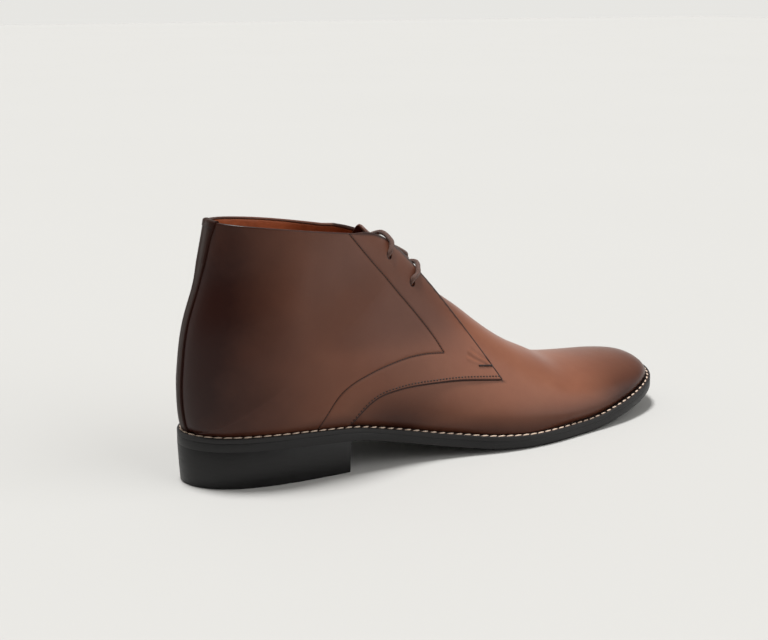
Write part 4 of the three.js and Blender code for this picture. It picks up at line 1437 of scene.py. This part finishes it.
def make_laces():
    for name, eyelet, bar in zip(("lace_bar_upper", "lace_bar_lower"), EYELETS, LACE_BARS):
        dressed(lace(name + "_run", lace_bar(eyelet, *bar)), LACE_COTTON, "lace", name)
    dressed(lace("lace_crossing_first", crossing_lace(1)), LACE_COTTON, "lace", "lace_crossing")
    dressed(lace("lace_crossing_second", crossing_lace(-1)), LACE_COTTON, "lace")


make_laces()


# The camera stands where the photograph was taken from.
CAMERA_PLACE = (-0.274529, -0.586260, 0.237052)
CAMERA_TURN = 0.541715
CAMERA_DIP = 0.178347
CAMERA_LENS = 62.72
SENSOR_WIDTH = 36.0
CAMERA_SHIFT = (-0.00234, -0.1144)


def make_camera():
    data = bpy.data.cameras.new("camera")
    data.lens = CAMERA_LENS
    data.sensor_width = SENSOR_WIDTH
    data.sensor_fit = "HORIZONTAL"
    data.shift_x, data.shift_y = CAMERA_SHIFT
    data.clip_start = 0.01
    camera = add_object("camera", data)
    camera.location = CAMERA_PLACE
    camera.rotation_euler = (math.pi / 2 - CAMERA_DIP, 0.0, -CAMERA_TURN)
    bpy.context.scene.camera = camera


FLOOR_PAINT = "#c4c3c0"
FLOOR_CLOUD = "#c6c5c2"
FLOOR_HALF = 9.0


def make_floor():
    mesh = bpy.data.meshes.new("floor")
    corners = [(x * FLOOR_HALF, y * FLOOR_HALF, 0) for x, y in ((-1, -1), (1, -1), (1, 1), (-1, 1))]
    mesh.from_pydata(corners, [], [(0, 1, 2, 3)])
    # Matt painted board: even and nearly white, with only a faint cloud in the paint.
    material, tree, place = new_material("matt_white_painted_board")
    tint = noise(tree, place, 2.0)
    colour = ramp(tree, tint, [(0.0, linear(FLOOR_PAINT)), (1.0, linear(FLOOR_CLOUD))])
    finish_material(tree, {"Roughness": 0.9, "IOR": 1.3}, colour, None, None)
    mesh.materials.append(material)
    add_object("floor", mesh)


def softbox(name, place, strength, spread):
    """A far softbox that lights floor and boot evenly from one side; it looks spread degrees wide."""
    data = bpy.data.lights.new(name, "SUN")
    data.energy = strength
    data.angle = math.radians(spread)
    light = add_object(name, data)
    light.location = place
    light.rotation_euler = Vector(place).to_track_quat("Z", "Y").to_euler()


# The studio round the boot: its white, and the light of its walls, its ceiling, and the dim side
# behind the camera.
STUDIO_WHITE = "#fffefa"
WALL_LIGHT = 0.8
CEILING_LIGHT = 0.3
DIM_LIGHT = 0.1
DIM_SIDE = (-0.62, -0.78, 0.0)


def make_light():
    world = bpy.data.worlds.new("pale_studio")
    world.use_nodes = True
    tree = world.node_tree
    tree.nodes.clear()
    ray = node(tree, "ShaderNodeTexCoord").outputs["Generated"]
    height = node(tree, "ShaderNodeSeparateXYZ", inputs={"Vector": ray}).outputs["Z"]
    toward = node(tree, "ShaderNodeVectorMath", {"operation": "DOT_PRODUCT"},
                  {0: ray, 1: DIM_SIDE}).outputs["Value"]
    above_horizon = carried(tree, height, 0.08, 0.2, 0.0, 1.0, "SMOOTHSTEP")
    on_dim_side = carried(tree, toward, 0.2, 0.75, 0.0, 1.0, "SMOOTHSTEP")
    dim = maths(tree, "MULTIPLY", on_dim_side, above_horizon)
    wall = carried(tree, height, 0.06, 0.4, WALL_LIGHT, CEILING_LIGHT, "SMOOTHSTEP")
    share = maths(tree, "SUBTRACT", 1.0, maths(tree, "MULTIPLY", dim, 1.0 - DIM_LIGHT))
    back = node(tree, "ShaderNodeBackground", inputs={
        "Color": linear(STUDIO_WHITE), "Strength": maths(tree, "MULTIPLY", wall, share)})
    out = node(tree, "ShaderNodeOutputWorld")
    tree.links.new(back.outputs["Background"], out.inputs["Surface"])
    bpy.context.scene.world = world
    softbox("overhead_softbox", (-0.06, 0.15, 1.0), 3.3, 13)
    softbox("toe_side_softbox", (0.65, -0.7, 0.6), 1.05, 60)


bpy.context.scene.view_settings.view_transform = "Standard"
make_camera()
make_floor()
make_light()
